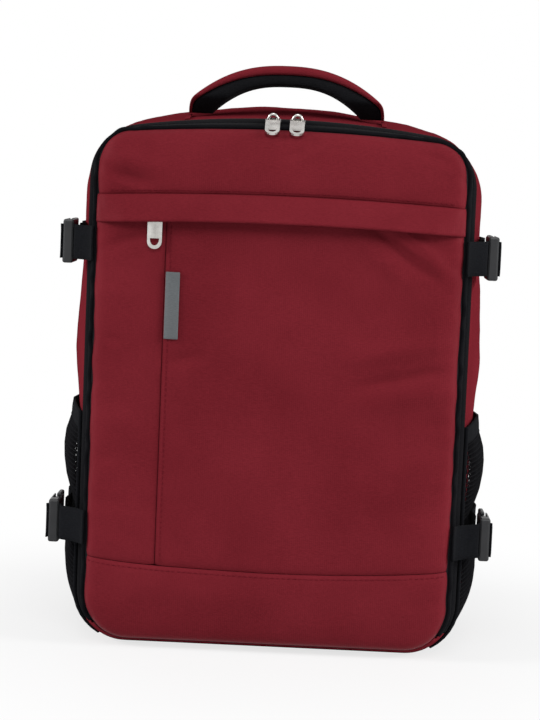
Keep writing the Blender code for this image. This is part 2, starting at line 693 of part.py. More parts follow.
def flat_strap(name, path, width, y, thickness, finish):
    """A strap that lies flat on the back of the bag, with square ends. path is its middle line, in (x, z)."""
    bm = bmesh.new()
    rows = ([], [])
    for i, p in enumerate(path):
        at_end = i in (0, len(path) - 1)
        along = Vector((0, -1)) if at_end else (path[i + 1] - path[i - 1]).normalized()
        half = width / 2 / -along.y
        for row, sign in zip(rows, (-1, 1)):
            row.append(bm.verts.new((p.x - sign * half, y, p.y)))
    for i in range(len(path) - 1):
        bm.faces.new((rows[0][i], rows[0][i + 1], rows[1][i + 1], rows[1][i]))
    return thicken(add_object(name, bm, finish), thickness, 0.0)


def build_shoulder_straps():
    """Two padded shoulder straps on a sewn yoke, each with an adjuster, webbing and a lower tab."""
    pad_y = BACK_Y + BACK_PAD_DEPTH + GAP + SHOULDER_PAD / 2
    yoke_z = SHOULDER_TOP_Z + SEAM
    box("strap_yoke", (-SHOULDER_TOP_X - SHOULDER_WIDTH / 2, BACK_Y + GAP, yoke_z),
        (SHOULDER_TOP_X + SHOULDER_WIDTH / 2, pad_y + SHOULDER_PAD / 2, yoke_z + YOKE_HEIGHT), black_cloth(),
        bevel=0.003)
    wide, deep, tall = ADJUSTER
    anchor_top = ANCHOR_Z + ANCHOR_HEIGHT / 2
    for side, sign in (("left", -1), ("right", 1)):
        end_x = SHOULDER_TOP_X + SHOULDER_SPREAD
        strap_drop = SHOULDER_TOP_Z - SHOULDER_END_Z
        line = [(SHOULDER_TOP_X, SHOULDER_TOP_Z), (SHOULDER_TOP_X, SHOULDER_TOP_Z - 0.020),
                (SHOULDER_TOP_X + SHOULDER_SPREAD * 0.36, SHOULDER_TOP_Z - strap_drop * 0.36),
                (SHOULDER_TOP_X + SHOULDER_SPREAD * 0.85, SHOULDER_TOP_Z - strap_drop * 0.68),
                (end_x, SHOULDER_END_Z + 0.020), (end_x, SHOULDER_END_Z)]
        path = smooth_path([(sign * x, z) for x, z in line], 4)
        flat_strap(f"shoulder_strap_{side}", path, SHOULDER_WIDTH, pad_y, SHOULDER_PAD, black_cloth())
        end_x *= sign
        top = SHOULDER_END_Z - SEAM
        adjuster = box(f"strap_adjuster_{side}", (end_x - wide / 2, pad_y - deep / 2, top - tall),
                       (end_x + wide / 2, pad_y + deep / 2, top), black_plastic(), bevel=0.0015)
        for share in (0.22, 0.62):
            slot = top - tall * share
            cut(adjuster, box(f"slot_{side}_{share}", (end_x - WEB_WIDTH / 2, pad_y - 0.02, slot - WEB_SLOT),
                              (end_x + WEB_WIDTH / 2, pad_y + 0.02, slot), None, collection=CUTTERS))
        web_top = top - tall - SEAM
        web = [Vector((end_x, web_top)), Vector((end_x, web_top - 0.010)),
               Vector((sign * ANCHOR_X, anchor_top + 0.014)), Vector((sign * ANCHOR_X, anchor_top + SEAM))]
        flat_strap(f"strap_webbing_{side}", smooth_path(web, 3), WEB_WIDTH, pad_y, WEB, black_cloth())
        anchor_x = sign * ANCHOR_X
        box(f"strap_anchor_{side}", (anchor_x - ANCHOR_WIDTH / 2, BACK_Y + GAP, anchor_top - ANCHOR_HEIGHT),
            (anchor_x + ANCHOR_WIDTH / 2, pad_y + 0.003, anchor_top), black_cloth(), bevel=0.002)


build_shell()
build_zip()
build_lid()
build_main_sliders()
build_pocket_slider()
build_straps()
build_pockets()
build_handle()
build_shoulder_straps()
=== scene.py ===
import math

import bmesh
import bpy
import numpy as np
from mathutils import Matrix, Vector, noise


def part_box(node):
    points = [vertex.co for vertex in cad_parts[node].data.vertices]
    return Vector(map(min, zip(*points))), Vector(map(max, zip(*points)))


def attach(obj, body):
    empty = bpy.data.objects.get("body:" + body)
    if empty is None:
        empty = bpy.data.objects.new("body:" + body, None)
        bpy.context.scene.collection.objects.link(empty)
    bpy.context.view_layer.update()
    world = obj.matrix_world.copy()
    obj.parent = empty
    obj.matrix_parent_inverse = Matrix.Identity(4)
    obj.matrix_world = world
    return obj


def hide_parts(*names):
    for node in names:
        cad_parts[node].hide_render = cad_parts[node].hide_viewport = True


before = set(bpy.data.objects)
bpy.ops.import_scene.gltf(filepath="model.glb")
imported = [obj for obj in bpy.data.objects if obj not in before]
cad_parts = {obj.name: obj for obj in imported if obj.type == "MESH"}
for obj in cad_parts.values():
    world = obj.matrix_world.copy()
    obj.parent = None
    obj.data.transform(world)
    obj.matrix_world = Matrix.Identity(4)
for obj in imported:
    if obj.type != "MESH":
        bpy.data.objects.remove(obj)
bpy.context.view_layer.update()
scene = bpy.context.scene
scene.view_settings.view_transform = "Standard"
print("frame loaded")

# the bag's own sizes, in metres, as the solids have them apart from the flap's height
bag = {
    "halfWidth": 0.153, "height": 0.400, "archRadius": 0.420, "lidArch": 1.300, "floorRelief": 0.0150,
    "topCorner": 0.060, "tighterTop": 1.75, "leastTop": 0.012, "bottomCorner": 0.042, "tighterBottom": 0.5,
    "lidBack": -0.0863, "crown": 0.0147, "zipY": -0.0740, "gussetFront": -0.0620, "gussetBack": 0.0850,
    "edgeInset": 0.0195, "zipInset": 0.0121, "fullest": 0.0200, "rearInset": 0.0100, "edgeSlack": 0.0008,
    "bottomSeam": 0.0660, "uprightSeam": -0.0810, "flapLow": 0.3092, "flapHigh": 0.3282,
}
outlinePoints = {"foot": 14, "lowCorner": 9, "side": 34, "topCorner": 11, "arch": 13}
bagMiddle = Vector((0, 0, bag["height"] / 2))
sides = (("left", -1), ("right", 1))
places = [(f"{level}_{side}", sign) for level in ("upper", "lower") for side, sign in sides]


def insetAt(y):
    stations = [bag["lidBack"], bag["gussetFront"], bag["fullest"], bag["gussetBack"] * 0.6, bag["gussetBack"]]
    insets = [bag["edgeInset"], bag["zipInset"], 0.0, bag["rearInset"] * 0.2, bag["rearInset"]]
    return float(np.interp(y, stations, insets))


def archAt(inset):
    share = min(1.0, inset / bag["edgeInset"])
    return 1 / ((1 - share) / bag["archRadius"] + share / bag["lidArch"])


def lowCornerAt(inset):
    return bag["bottomCorner"] - inset * bag["tighterBottom"]


def outline(inset, fine=1):
    # (x, z) points from the bottom centre, up the right side, over the arch and down the left
    half = bag["halfWidth"] - inset
    low = max(0.0, inset - bag["floorRelief"])
    beyond = max(0.0, inset - bag["edgeInset"] - bag["edgeSlack"])
    topR = max(bag["leastTop"], bag["topCorner"] - (inset - beyond) * bag["tighterTop"] - beyond)
    lowR = lowCornerAt(inset)
    archR = archAt(inset)
    archZ = bag["height"] - inset - archR
    cornerX = half - topR
    cornerZ = archZ + math.sqrt((archR - topR) ** 2 - cornerX ** 2)
    lean = math.atan2(cornerZ - archZ, cornerX)
    count = {k: n * fine for k, n in outlinePoints.items()}
    right = [(x, low) for x in np.linspace(0.0, half - lowR, count["foot"])]
    for a in np.linspace(-math.pi / 2, 0.0, count["lowCorner"])[1:]:
        right.append((half - lowR + lowR * math.cos(a), low + lowR + lowR * math.sin(a)))
    right += [(half, z) for z in np.linspace(low + lowR, cornerZ, count["side"])[1:]]
    for a in np.linspace(0.0, lean, count["topCorner"])[1:]:
        right.append((cornerX + topR * math.cos(a), cornerZ + topR * math.sin(a)))
    for a in np.linspace(lean, math.pi / 2, count["arch"])[1:]:
        right.append((archR * math.cos(a), archZ + archR * math.sin(a)))
    right[-1] = (0.0, bag["height"] - inset)
    return np.array(right + [(-x, z) for x, z in reversed(right[1:-1])])


def edgeDistance(x, z, inset):
    # how far inside the outline each point lies
    line = outline(inset, 2)
    points = np.stack([np.ravel(x), np.ravel(z)], 1)
    best = np.full(len(points), 9.0)
    for a, b in zip(line, np.roll(line, -1, 0)):
        along = b - a
        t = np.clip(((points - a) @ along) / max(along @ along, 1e-12), 0, 1)
        best = np.minimum(best, np.linalg.norm(points - a - t[:, None] * along, axis=1))
    return best.reshape(np.shape(x))


def softNoise(x, z, size, seed):
    flat = [noise.noise(Vector((a / size, b / size, seed))) for a, b in zip(np.ravel(x), np.ravel(z))]
    return np.array(flat).reshape(np.shape(x))


def foldLine(x, z, start, end, width):
    # 1 on the line from start to end, falling away on both sides of it and towards its ends
    a, b = np.array(start), np.array(end)
    along = b - a
    t = ((x - a[0]) * along[0] + (z - a[1]) * along[1]) / (along @ along)
    away = np.hypot(x - a[0] - np.clip(t, 0, 1) * along[0], z - a[1] - np.clip(t, 0, 1) * along[1])
    fade = np.clip(np.sin(math.pi * np.clip(t * 0.9 + 0.05, 0, 1)), 0, 1)
    return np.exp(-(away / width) ** 2) * fade


def meshPiece(name, verts, faces, finish, body, replaced=(), slot=None, smooth=True):
    mesh = bpy.data.meshes.new(name)
    mesh.from_pydata([tuple(map(float, v)) for v in verts], [], [tuple(map(int, f)) for f in faces])
    mesh.validate()
    bm = bmesh.new()
    bm.from_mesh(mesh)
    bmesh.ops.remove_doubles(bm, verts=bm.verts, dist=1e-6)
    bmesh.ops.recalc_face_normals(bm, faces=bm.faces)
    bm.to_mesh(mesh)
    bm.free()
    for one in finish if isinstance(finish, (list, tuple)) else [finish]:
        mesh.materials.append(one)
    if smooth:
        mesh.shade_smooth()
    piece = bpy.data.objects.new(name, mesh)
    scene.collection.objects.link(piece)
    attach(piece, body)
    if replaced:
        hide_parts(*replaced)
    return piece


def gridFaces(rows, columns, closed=False):
    faces = []
    for i in range(rows - 1):
        for j in range(columns if closed else columns - 1):
            k = (j + 1) % columns
            faces.append((i * columns + j, i * columns + k, (i + 1) * columns + k, (i + 1) * columns + j))
    return faces


def gridPiece(name, grid, finish, body, outward=None, closed=False, **more):
    # grid is rows x columns x 3, and outward is the way its faces look
    rows, columns = grid.shape[:2]
    piece = meshPiece(name, grid.reshape(-1, 3), gridFaces(rows, columns, closed), finish, body, **more)
    if outward is not None:
        faceAlong(piece, outward)
    return piece


def ringPiece(name, rings, finish, body, replaced=(), slot=None):
    # a closed form through rings of the same number of points, with a cap at both ends
    count = len(rings[0])
    faces = gridFaces(len(rings), count, True)
    faces.append(tuple(reversed(range(count))))
    faces.append(tuple(range((len(rings) - 1) * count, len(rings) * count)))
    piece = meshPiece(name, np.concatenate(rings), faces, finish, body, replaced, slot)
    return piece


def outlineRings(stations):
    # rings of the bag's outline, from (inset, y)
    rings = []
    for inset, y in stations:
        line = outline(inset)
        rings.append(np.stack([line[:, 0], np.full(len(line), y), line[:, 1]], 1))
    return rings


def faceAlong(piece, outward):
    mesh = piece.data
    score = 0.0
    for f in mesh.polygons:
        way = outward(f.center) if callable(outward) else Vector(outward)
        score += f.area * f.normal.dot(way)
    if score < 0:
        mesh.flip_normals()


def solid(piece, thickness, offset=-1.0, rimFinish=None):
    wall = piece.modifiers.new("wall", "SOLIDIFY")
    wall.thickness = thickness
    wall.offset = offset
    wall.use_even_offset = True
    if rimFinish is not None:
        wall.material_offset = rimFinish
    return piece


# the finishes, with the numbers that shape their grain
weave = {"cross": 1.6, "cloud": 14.0, "cloudShare": 0.55, "thread": 420.0, "threadStretch": (1.0, 1.0, 6.0),
         "threadShare": 0.45, "roughness": 0.08, "ribShare": 0.5, "relief": 0.16, "strength": 0.5}
moulding = {"gloss": 0.35, "grain": 900.0, "cloud": 60.0, "smoother": 0.06, "rougher": 0.10, "relief": 0.00004,
            "strength": 0.4}
brushing = {"lines": 700.0, "linesStretch": (1.0, 1.0, 0.12), "cloud": 160.0, "smoother": 0.07, "rougher": 0.09,
            "relief": 0.00002, "strength": 0.3}


def newFinish(name, roughness, metallic=0.0, sheen=0.0, gloss=0.5):
    finish = bpy.data.materials.new(name)
    finish.use_nodes = True
    tree = finish.node_tree
    shader = tree.nodes["Principled BSDF"]
    shader.inputs["Roughness"].default_value = roughness
    shader.inputs["Metallic"].default_value = metallic
    shader.inputs["Sheen Weight"].default_value = sheen
    shader.inputs["Specular IOR Level"].default_value = gloss
    shader.inputs["Sheen Roughness"].default_value = 0.4
    place = tree.nodes.new("ShaderNodeTexCoord").outputs["Object"]
    return finish, tree, shader, place


def noiseOf(tree, place, scale, detail=2.0, stretch=None):
    if stretch:
        mapping = tree.nodes.new("ShaderNodeMapping")
        mapping.inputs["Scale"].default_value = stretch
        tree.links.new(place, mapping.inputs["Vector"])
        place = mapping.outputs["Vector"]
    made = tree.nodes.new("ShaderNodeTexNoise")
    made.inputs["Scale"].default_value = scale
    made.inputs["Detail"].default_value = detail
    tree.links.new(place, made.inputs["Vector"])
    return made.outputs["Fac"]


def ribsOf(tree, place, pitch, direction):
    made = tree.nodes.new("ShaderNodeTexWave")
    made.bands_direction = direction
    made.inputs["Scale"].default_value = 2 * math.pi / (20 * pitch)
    tree.links.new(place, made.inputs["Vector"])
    return made.outputs["Fac"]


def mathOf(tree, operation, a, b):
    made = tree.nodes.new("ShaderNodeMath")
    made.operation = operation
    for socket, value in zip(made.inputs, (a, b)):
        if isinstance(value, (int, float)):
            socket.default_value = value
        else:
            tree.links.new(value, socket)
    return made.outputs["Value"]


def colourBetween(tree, shader, fac, dark, light, spread=(0.3, 0.7)):
    ramp = tree.nodes.new("ShaderNodeValToRGB")
    ramp.color_ramp.elements[0].position, ramp.color_ramp.elements[1].position = spread
    ramp.color_ramp.elements[0].color = (*dark, 1)
    ramp.color_ramp.elements[1].color = (*light, 1)
    tree.links.new(fac, ramp.inputs["Fac"])
    tree.links.new(ramp.outputs["Color"], shader.inputs["Base Color"])


def bumpOf(tree, shader, height, distance, strength=0.6):
    bump = tree.nodes.new("ShaderNodeBump")
    bump.inputs["Distance"].default_value = distance
    bump.inputs["Strength"].default_value = strength
    tree.links.new(height, bump.inputs["Height"])
    tree.links.new(bump.outputs["Normal"], shader.inputs["Normal"])


def roughnessBetween(tree, shader, fac, low, high):
    spread = tree.nodes.new("ShaderNodeMapRange")
    spread.inputs["To Min"].default_value = low
    spread.inputs["To Max"].default_value = high
    tree.links.new(fac, spread.inputs["Value"])
    tree.links.new(spread.outputs["Result"], shader.inputs["Roughness"])


def wovenCloth(name, dark, light, pitch, roughness, sheen, directions="XZ", gloss=0.0, tint=(1, 1, 1)):
    finish, tree, shader, place = newFinish(name, roughness, sheen=sheen, gloss=gloss)
    shader.inputs["Specular Tint"].default_value = (*tint, 1)
    ribs = [ribsOf(tree, place, pitch * (1.0 if d == "Z" else weave["cross"]), d) for d in directions]
    cloth = ribs[0]
    for other in ribs[1:]:
        cloth = mathOf(tree, "ADD", cloth, other)
    cloud = noiseOf(tree, place, weave["cloud"], 3.0)
    thread = noiseOf(tree, place, weave["thread"], 1.0, weave["threadStretch"])
    tone = mathOf(tree, "ADD", mathOf(tree, "MULTIPLY", cloud, weave["cloudShare"]),
                  mathOf(tree, "MULTIPLY", thread, weave["threadShare"]))
    colourBetween(tree, shader, tone, dark, light)
    roughnessBetween(tree, shader, thread, roughness - weave["roughness"], roughness + weave["roughness"])
    height = mathOf(tree, "ADD", mathOf(tree, "MULTIPLY", cloth, weave["ribShare"]), thread)
    bumpOf(tree, shader, height, pitch * weave["relief"], weave["strength"])
    return finish


def mouldedPlastic(name, dark, light, roughness):
    finish, tree, shader, place = newFinish(name, roughness, gloss=moulding["gloss"])
    grain = noiseOf(tree, place, moulding["grain"])
    colourBetween(tree, shader, noiseOf(tree, place, moulding["cloud"]), dark, light)
    roughnessBetween(tree, shader, grain, roughness - moulding["smoother"], roughness + moulding["rougher"])
    bumpOf(tree, shader, grain, moulding["relief"], moulding["strength"])
    return finish


def satinMetal(name, dark, light, roughness):
    finish, tree, shader, place = newFinish(name, roughness, metallic=1.0)
    brushed = noiseOf(tree, place, brushing["lines"], stretch=brushing["linesStretch"])
    colourBetween(tree, shader, noiseOf(tree, place, brushing["cloud"]), dark, light)
    roughnessBetween(tree, shader, brushed, roughness - brushing["smoother"], roughness + brushing["rougher"])
    bumpOf(tree, shader, brushed, brushing["relief"], brushing["strength"])
    return finish


# dark and light colour, rib pitch, roughness, sheen
finishes = {
    "burgundy": wovenCloth("burgundyWeave", (0.116, 0.0100, 0.0150), (0.172, 0.0168, 0.0246), 0.0009, 0.42, 0.0,
                           gloss=0.03, tint=(0.90, 0.20, 0.26)),
    "burgundyMatt": wovenCloth("burgundyMatt", (0.118, 0.0103, 0.0153), (0.175, 0.0175, 0.0255),
                               0.0009, 0.6, 0.0),
    "thread": wovenCloth("burgundyThread", (0.110, 0.009, 0.015), (0.160, 0.014, 0.022), 0.0004, 0.6, 0.0),
    "tape": wovenCloth("zipTapeRib", (0.0040, 0.0040, 0.0048), (0.0085, 0.0085, 0.0100),
                       0.0007, 0.62, 0.02, "XYZ"),
    "webbing": wovenCloth("webbingRib", (0.0045, 0.0047, 0.0056), (0.0120, 0.0125, 0.0145),
                          0.0013, 0.6, 0.02, "YZ"),
    "mesh": wovenCloth("airMesh", (0.0040, 0.0040, 0.0046), (0.0105, 0.0105, 0.0120),
                       0.0012, 0.75, 0.02, "XYZ"),
    "padCloth": wovenCloth("padCloth", (0.0060, 0.0060, 0.0068), (0.0130, 0.0130, 0.0145), 0.0010, 0.7, 0.02),
    "lining": wovenCloth("liningCloth", (0.0100, 0.0100, 0.0112), (0.0190, 0.0190, 0.0210), 0.0008, 0.6, 0.02),
    "label": wovenCloth("labelTape", (0.100, 0.107, 0.112), (0.147, 0.157, 0.163), 0.0005, 0.65, 0.02),
    "plastic": mouldedPlastic("buckleAcetal", (0.0135, 0.0140, 0.0155), (0.0215, 0.0220, 0.0240), 0.40),
    "board": mouldedPlastic("boardSheet", (0.010, 0.010, 0.011), (0.018, 0.018, 0.019), 0.55),
    "nickel": satinMetal("satinNickel", (0.44, 0.425, 0.405), (0.64, 0.625, 0.60), 0.24),
}
print("finishes made")

# camera at the photograph's angle, floor and light
view = {"yaw": 1.2, "rise": 5.5, "roll": 2.4, "distance": 1.45, "frameHeight": 0.5184,
        "aim": (-0.0036, -0.090, 0.2146), "sensor": 36.0}
stage = {"dark": (0.72, 0.72, 0.72), "light": (0.76, 0.76, 0.76), "roughness": 0.7, "cloud": 3.0, "half": 9,
         "drop": 0.0004, "nearReach": 0.14, "farReach": 0.46, "nearGlow": 0.74, "worldLight": 0.27}


def setCamera():
    yaw, rise, roll = (math.radians(view[k]) for k in ("yaw", "rise", "roll"))
    aim = Vector(view["aim"])
    away = Vector((math.sin(yaw) * math.cos(rise), -math.cos(yaw) * math.cos(rise), math.sin(rise)))
    right = (-away).cross(Vector((0, 0, 1))).normalized()
    up = right.cross(-away)
    turnedRight = right * math.cos(roll) + up * math.sin(roll)
    turnedUp = up * math.cos(roll) - right * math.sin(roll)
    lens = bpy.data.cameras.new("photoCamera")
    lens.sensor_fit = "VERTICAL"
    lens.sensor_height = view["sensor"]
    lens.lens = view["sensor"] * view["distance"] / view["frameHeight"]
    lens.clip_end = 50.0
    camera = bpy.data.objects.new("photoCamera", lens)
    basis = Matrix((turnedRight, turnedUp, away)).transposed().to_4x4()
    camera.matrix_world = Matrix.Translation(aim + away * view["distance"]) @ basis
    scene.collection.objects.link(camera)
    scene.camera = camera


def whenSeen(tree):
    # 1 for rays that come from the camera, a reflection or glass
    path = tree.nodes.new("ShaderNodeLightPath")
    seen = mathOf(tree, "MAXIMUM", path.outputs["Is Camera Ray"], path.outputs["Is Glossy Ray"])
    return mathOf(tree, "MAXIMUM", seen, path.outputs["Is Transmission Ray"])


def setStage():
    # the floor fades into the white background away from the bag, and keeps its shadow near it
    floorFinish, tree, shader, place = newFinish("paleFloor", stage["roughness"])
    colourBetween(tree, shader, noiseOf(tree, place, stage["cloud"]), stage["dark"], stage["light"])
    glow = tree.nodes.new("ShaderNodeEmission")
    both = tree.nodes.new("ShaderNodeMixShader")
    reach = tree.nodes.new("ShaderNodeVectorMath")
    reach.operation = "LENGTH"
    tree.links.new(place, reach.inputs[0])
    fade = tree.nodes.new("ShaderNodeMapRange")
    fade.interpolation_type = "SMOOTHSTEP"
    for socket, key in (("From Min", "nearReach"), ("From Max", "farReach"), ("To Min", "nearGlow")):
        fade.inputs[socket].default_value = stage[key]
    fade.inputs["To Max"].default_value = 1.0
    tree.links.new(reach.outputs["Value"], fade.inputs["Value"])
    tree.links.new(mathOf(tree, "MULTIPLY", whenSeen(tree), fade.outputs["Result"]), both.inputs["Fac"])
    tree.links.new(shader.outputs["BSDF"], both.inputs[1])
    tree.links.new(glow.outputs["Emission"], both.inputs[2])
    tree.links.new(both.outputs["Shader"], tree.nodes["Material Output"].inputs["Surface"])
    mesh = bpy.data.meshes.new("floor")
    far = stage["half"]
    mesh.from_pydata([(-far, -far, 0), (far, -far, 0), (far, far, 0), (-far, far, 0)], [], [(0, 1, 2, 3)])
    mesh.materials.append(floorFinish)
    floor = bpy.data.objects.new("floor", mesh)
    floor.location.z = -stage["drop"]
    scene.collection.objects.link(floor)

    world = bpy.data.worlds.new("studio")
    world.use_nodes = True
    scene.world = world
    tree = world.node_tree
    back = tree.nodes["Background"]
    back.inputs["Color"].default_value = (1, 1, 1, 1)
    low = stage["worldLight"]
    strength = mathOf(tree, "ADD", mathOf(tree, "MULTIPLY", whenSeen(tree), 1.0 - low), low)
    tree.links.new(strength, back.inputs["Strength"])


lampAim = (0, 0, 0.22)
lamps = [  # name, place, size, watts
    ("keyLamp", (-2.4, -0.64, 1.20), 1.0, 47.0),
    ("fillLamp", (2.45, -0.62, 1.15), 1.0, 53.0),
    ("topLamp", (0.05, -1.70, 1.85), 1.4, 22.6),
]


def setLamps():
    for name, place, size, watts in lamps:
        light = bpy.data.lights.new(name, "AREA")
        light.shape = "DISK"
        light.size = size
        light.energy = watts
        lamp = bpy.data.objects.new(name, light)
        lamp.location = place
        lamp.rotation_euler = (Vector(lampAim) - Vector(place)).to_track_quat("-Z", "Y").to_euler()
        scene.collection.objects.link(lamp)


setCamera()
setStage()
setLamps()
print("camera, floor and lamps set")

# the lid: cloth panels over a padded front, sewn at the flap, the upright seam and the bottom seam
lid = {
    "inset": 0.0203, "cloth": 0.0013, "fill": 0.6, "edgeRoll": (0.48, 0.0026), "edgeRise": (0.52, 0.0220),
    "calm": 0.018, "wave": 0.0019, "waveSize": 0.085, "ripple": 0.0006, "rippleSize": 0.022,
    "seamRoll": 0.0020, "seamWidth": 0.0026, "seamGap": 0.0001, "underFlap": 0.0016,
    "bowUp": 0.0040, "upSteps": ((0.190, 0.120), (0.334, 0.046)),  # start and length of each step in height
    "bowDown": 0.0055, "downSteps": ((0.006, 0.050), (0.075, 0.100)),
    "pucker": 0.0015, "puckerSize": 0.0095, "puckerLong": 0.24, "puckerClear": 0.003, "sideReach": 0.016,
    "topReach": 0.013, "edgeWave": 0.0011, "edgeWaveSize": 0.017, "edgeWaveReach": 0.006, "edgeWaveAt": 0.13,
    "pullRoom": (0.2880, 0.3310), "pullFade": 0.012, "pullBehind": 0.0001, "pullFree": 0.006,
    "panelRows": 170, "leftColumns": 64, "rightColumns": 190, "wideColumns": 210, "upperRows": 46,
    "bottomRows": 34,
    "folds": [  # start, end, width, depth: positive stands out
        ((0.0600, 0.3150), (0.1160, 0.2740), 0.0036, -0.0027),
        ((0.0720, 0.3160), (0.1260, 0.2790), 0.0060, 0.0030),
        ((0.0500, 0.3060), (0.0960, 0.2700), 0.0070, 0.0018),
        ((-0.1320, 0.3480), (-0.0900, 0.3340), 0.0042, -0.0028),
        ((-0.1320, 0.3600), (-0.0820, 0.3460), 0.0070, 0.0026),
        ((-0.1300, 0.3400), (-0.1050, 0.3340), 0.0050, 0.0016),
        ((0.0450, 0.2160), (0.1280, 0.2330), 0.0075, 0.0027),
        ((0.0520, 0.1965), (0.1330, 0.2155), 0.0042, -0.0024),
        ((0.0560, 0.1860), (0.1330, 0.2010), 0.0090, 0.0022),
        ((0.0280, 0.3790), (0.0050, 0.3570), 0.0032, -0.0018),
        ((0.0380, 0.3780), (0.0160, 0.3580), 0.0050, 0.0014),
        ((0.0880, 0.3720), (0.1260, 0.3570), 0.0036, -0.0018),
        ((-0.1330, 0.2270), (-0.1060, 0.2235), 0.0030, -0.0016),
        ((-0.0800, 0.2100), (-0.0480, 0.2170), 0.0042, -0.0015),
        ((-0.1330, 0.2905), (-0.0920, 0.2985), 0.0048, -0.0022),
        ((-0.1330, 0.1420), (-0.1120, 0.1380), 0.0036, -0.0012),
        ((-0.0780, 0.2950), (-0.0560, 0.2830), 0.0060, 0.0010),
        ((0.0200, 0.0900), (0.1200, 0.1500), 0.0200, 0.0014),
        ((-0.0500, 0.2700), (0.0300, 0.1800), 0.0240, 0.0012),
        ((-0.1280, 0.1600), (-0.0950, 0.1720), 0.0100, 0.0010),
        ((-0.1000, 0.0500), (0.0200, 0.0440), 0.0100, 0.0010),
        ((0.0850, 0.1150), (0.1300, 0.1080), 0.0080, -0.0011),
    ],
}
seeds = {"wave": 3.1, "ripple": 7.7, "side": 1.7, "top": 4.3, "edge": 8.8, "flap": 5.2}
lidHalf = bag["halfWidth"] - lid["inset"]


def crownShare(d):
    (roll, rollReach), (rise, riseReach) = lid["edgeRoll"], lid["edgeRise"]
    return 1 - roll * np.exp(-d / rollReach) - rise * np.exp(-d / riseReach)


def lidFace(x, z, seams=()):
    # y of the lid's cloth. seams holds (axis, level) of the seams where the cloth rolls in
    d = edgeDistance(x, z, lid["inset"])
    calm = np.clip(d / lid["calm"], 0, 1)
    out = bag["crown"] * crownShare(d)
    out = out + lid["wave"] * softNoise(x, z, lid["waveSize"], seeds["wave"]) * calm
    out = out + lid["ripple"] * softNoise(x, z, lid["rippleSize"], seeds["ripple"]) * calm
    clear = np.clip(d / lid["puckerClear"], 0, 1)
    beside = np.exp(-np.maximum(lidHalf - np.abs(x), 0) / lid["sideReach"]) * clear
    below = np.exp(-np.maximum(lidTop(x) - z, 0) / lid["topReach"]) * clear
    size, long = lid["puckerSize"], lid["puckerLong"]
    sideGather = softNoise(x * long, z, size, seeds["side"]) * beside
    topGather = softNoise(x, z * long, size, seeds["top"]) * below
    out = out + lid["pucker"] * (sideGather + topGather)
    for start, end, width, depth in lid["folds"]:
        out = out + depth * foldLine(x, z, start, end, width) * calm
    low, high = lid["pullRoom"]  # the pocket's pull slides past here, so the cloth keeps behind it
    free = np.clip((low - z) / lid["pullFade"], 0, 1) + np.clip((z - high) / lid["pullFade"], 0, 1)
    out = np.minimum(out, bag["crown"] - lid["pullBehind"] + lid["pullFree"] * free)
    for axis, level in seams:
        out = out - lid["seamRoll"] * np.exp(-np.abs((x, z)[axis] - level) / lid["seamWidth"])
    return bag["lidBack"] - out


def closeAtEnds(count, ease=0.75):
    # 0 to 1, with closer steps towards both ends
    t = np.linspace(0, 1, count)
    return t - ease * np.sin(2 * math.pi * t) / (2 * math.pi)


def lidEdge(axis, at, kept):
    # where the kept stretch of the lid's outline lies on the other axis
    line = outline(lid["inset"], 2)
    stretch = line[kept(line)]
    order = np.argsort(stretch[:, axis])
    return np.interp(at, stretch[order, axis], stretch[order, 1 - axis])


def lidSide(z):
    return lidEdge(1, z, lambda line: line[:, 0] > 0.085)


def lidTop(x):
    return lidEdge(0, x, lambda line: line[:, 1] > 0.25)


def lidFoot(x):
    return lidEdge(0, x, lambda line: line[:, 1] < 0.06)


def step(t):
    t = np.clip(t, 0, 1)
    return t * t * (3 - 2 * t)


def upAndDown(z, steps):
    (rise, riseLong), (fall, fallLong) = steps
    return step((z - rise) / riseLong) * (1 - step((z - fall) / fallLong))


def bowed(x, z):
    # the seams bow away from the middle of the filled lid
    across = 1 - np.clip(np.abs(x) / lidHalf, 0, 1) ** 2
    up, down = upAndDown(z, lid["upSteps"]), upAndDown(z, lid["downSteps"])
    return z + across * (lid["bowUp"] * up - lid["bowDown"] * down)


def wavyEdge(x, z):
    # the cloth's edge wanders a little along the zip
    d = edgeDistance(x, z, lid["inset"])
    wander = 0.5 + softNoise(x * 0, z + np.sign(x), lid["edgeWaveSize"], seeds["edge"])
    return x * (1 - lid["edgeWave"] / lid["edgeWaveAt"] * wander * np.exp(-d / lid["edgeWaveReach"]))


def lidPanel(name, x, z, seams, replaced):
    grid = np.stack([wavyEdge(x, z), lidFace(x, z, seams), bowed(x, z)], -1)
    piece = gridPiece(name, grid, finishes["burgundy"], "lid", outward=(0, -1, 0), replaced=replaced,
                      slot="burgundy_cloth")
    return solid(piece, lid["cloth"])


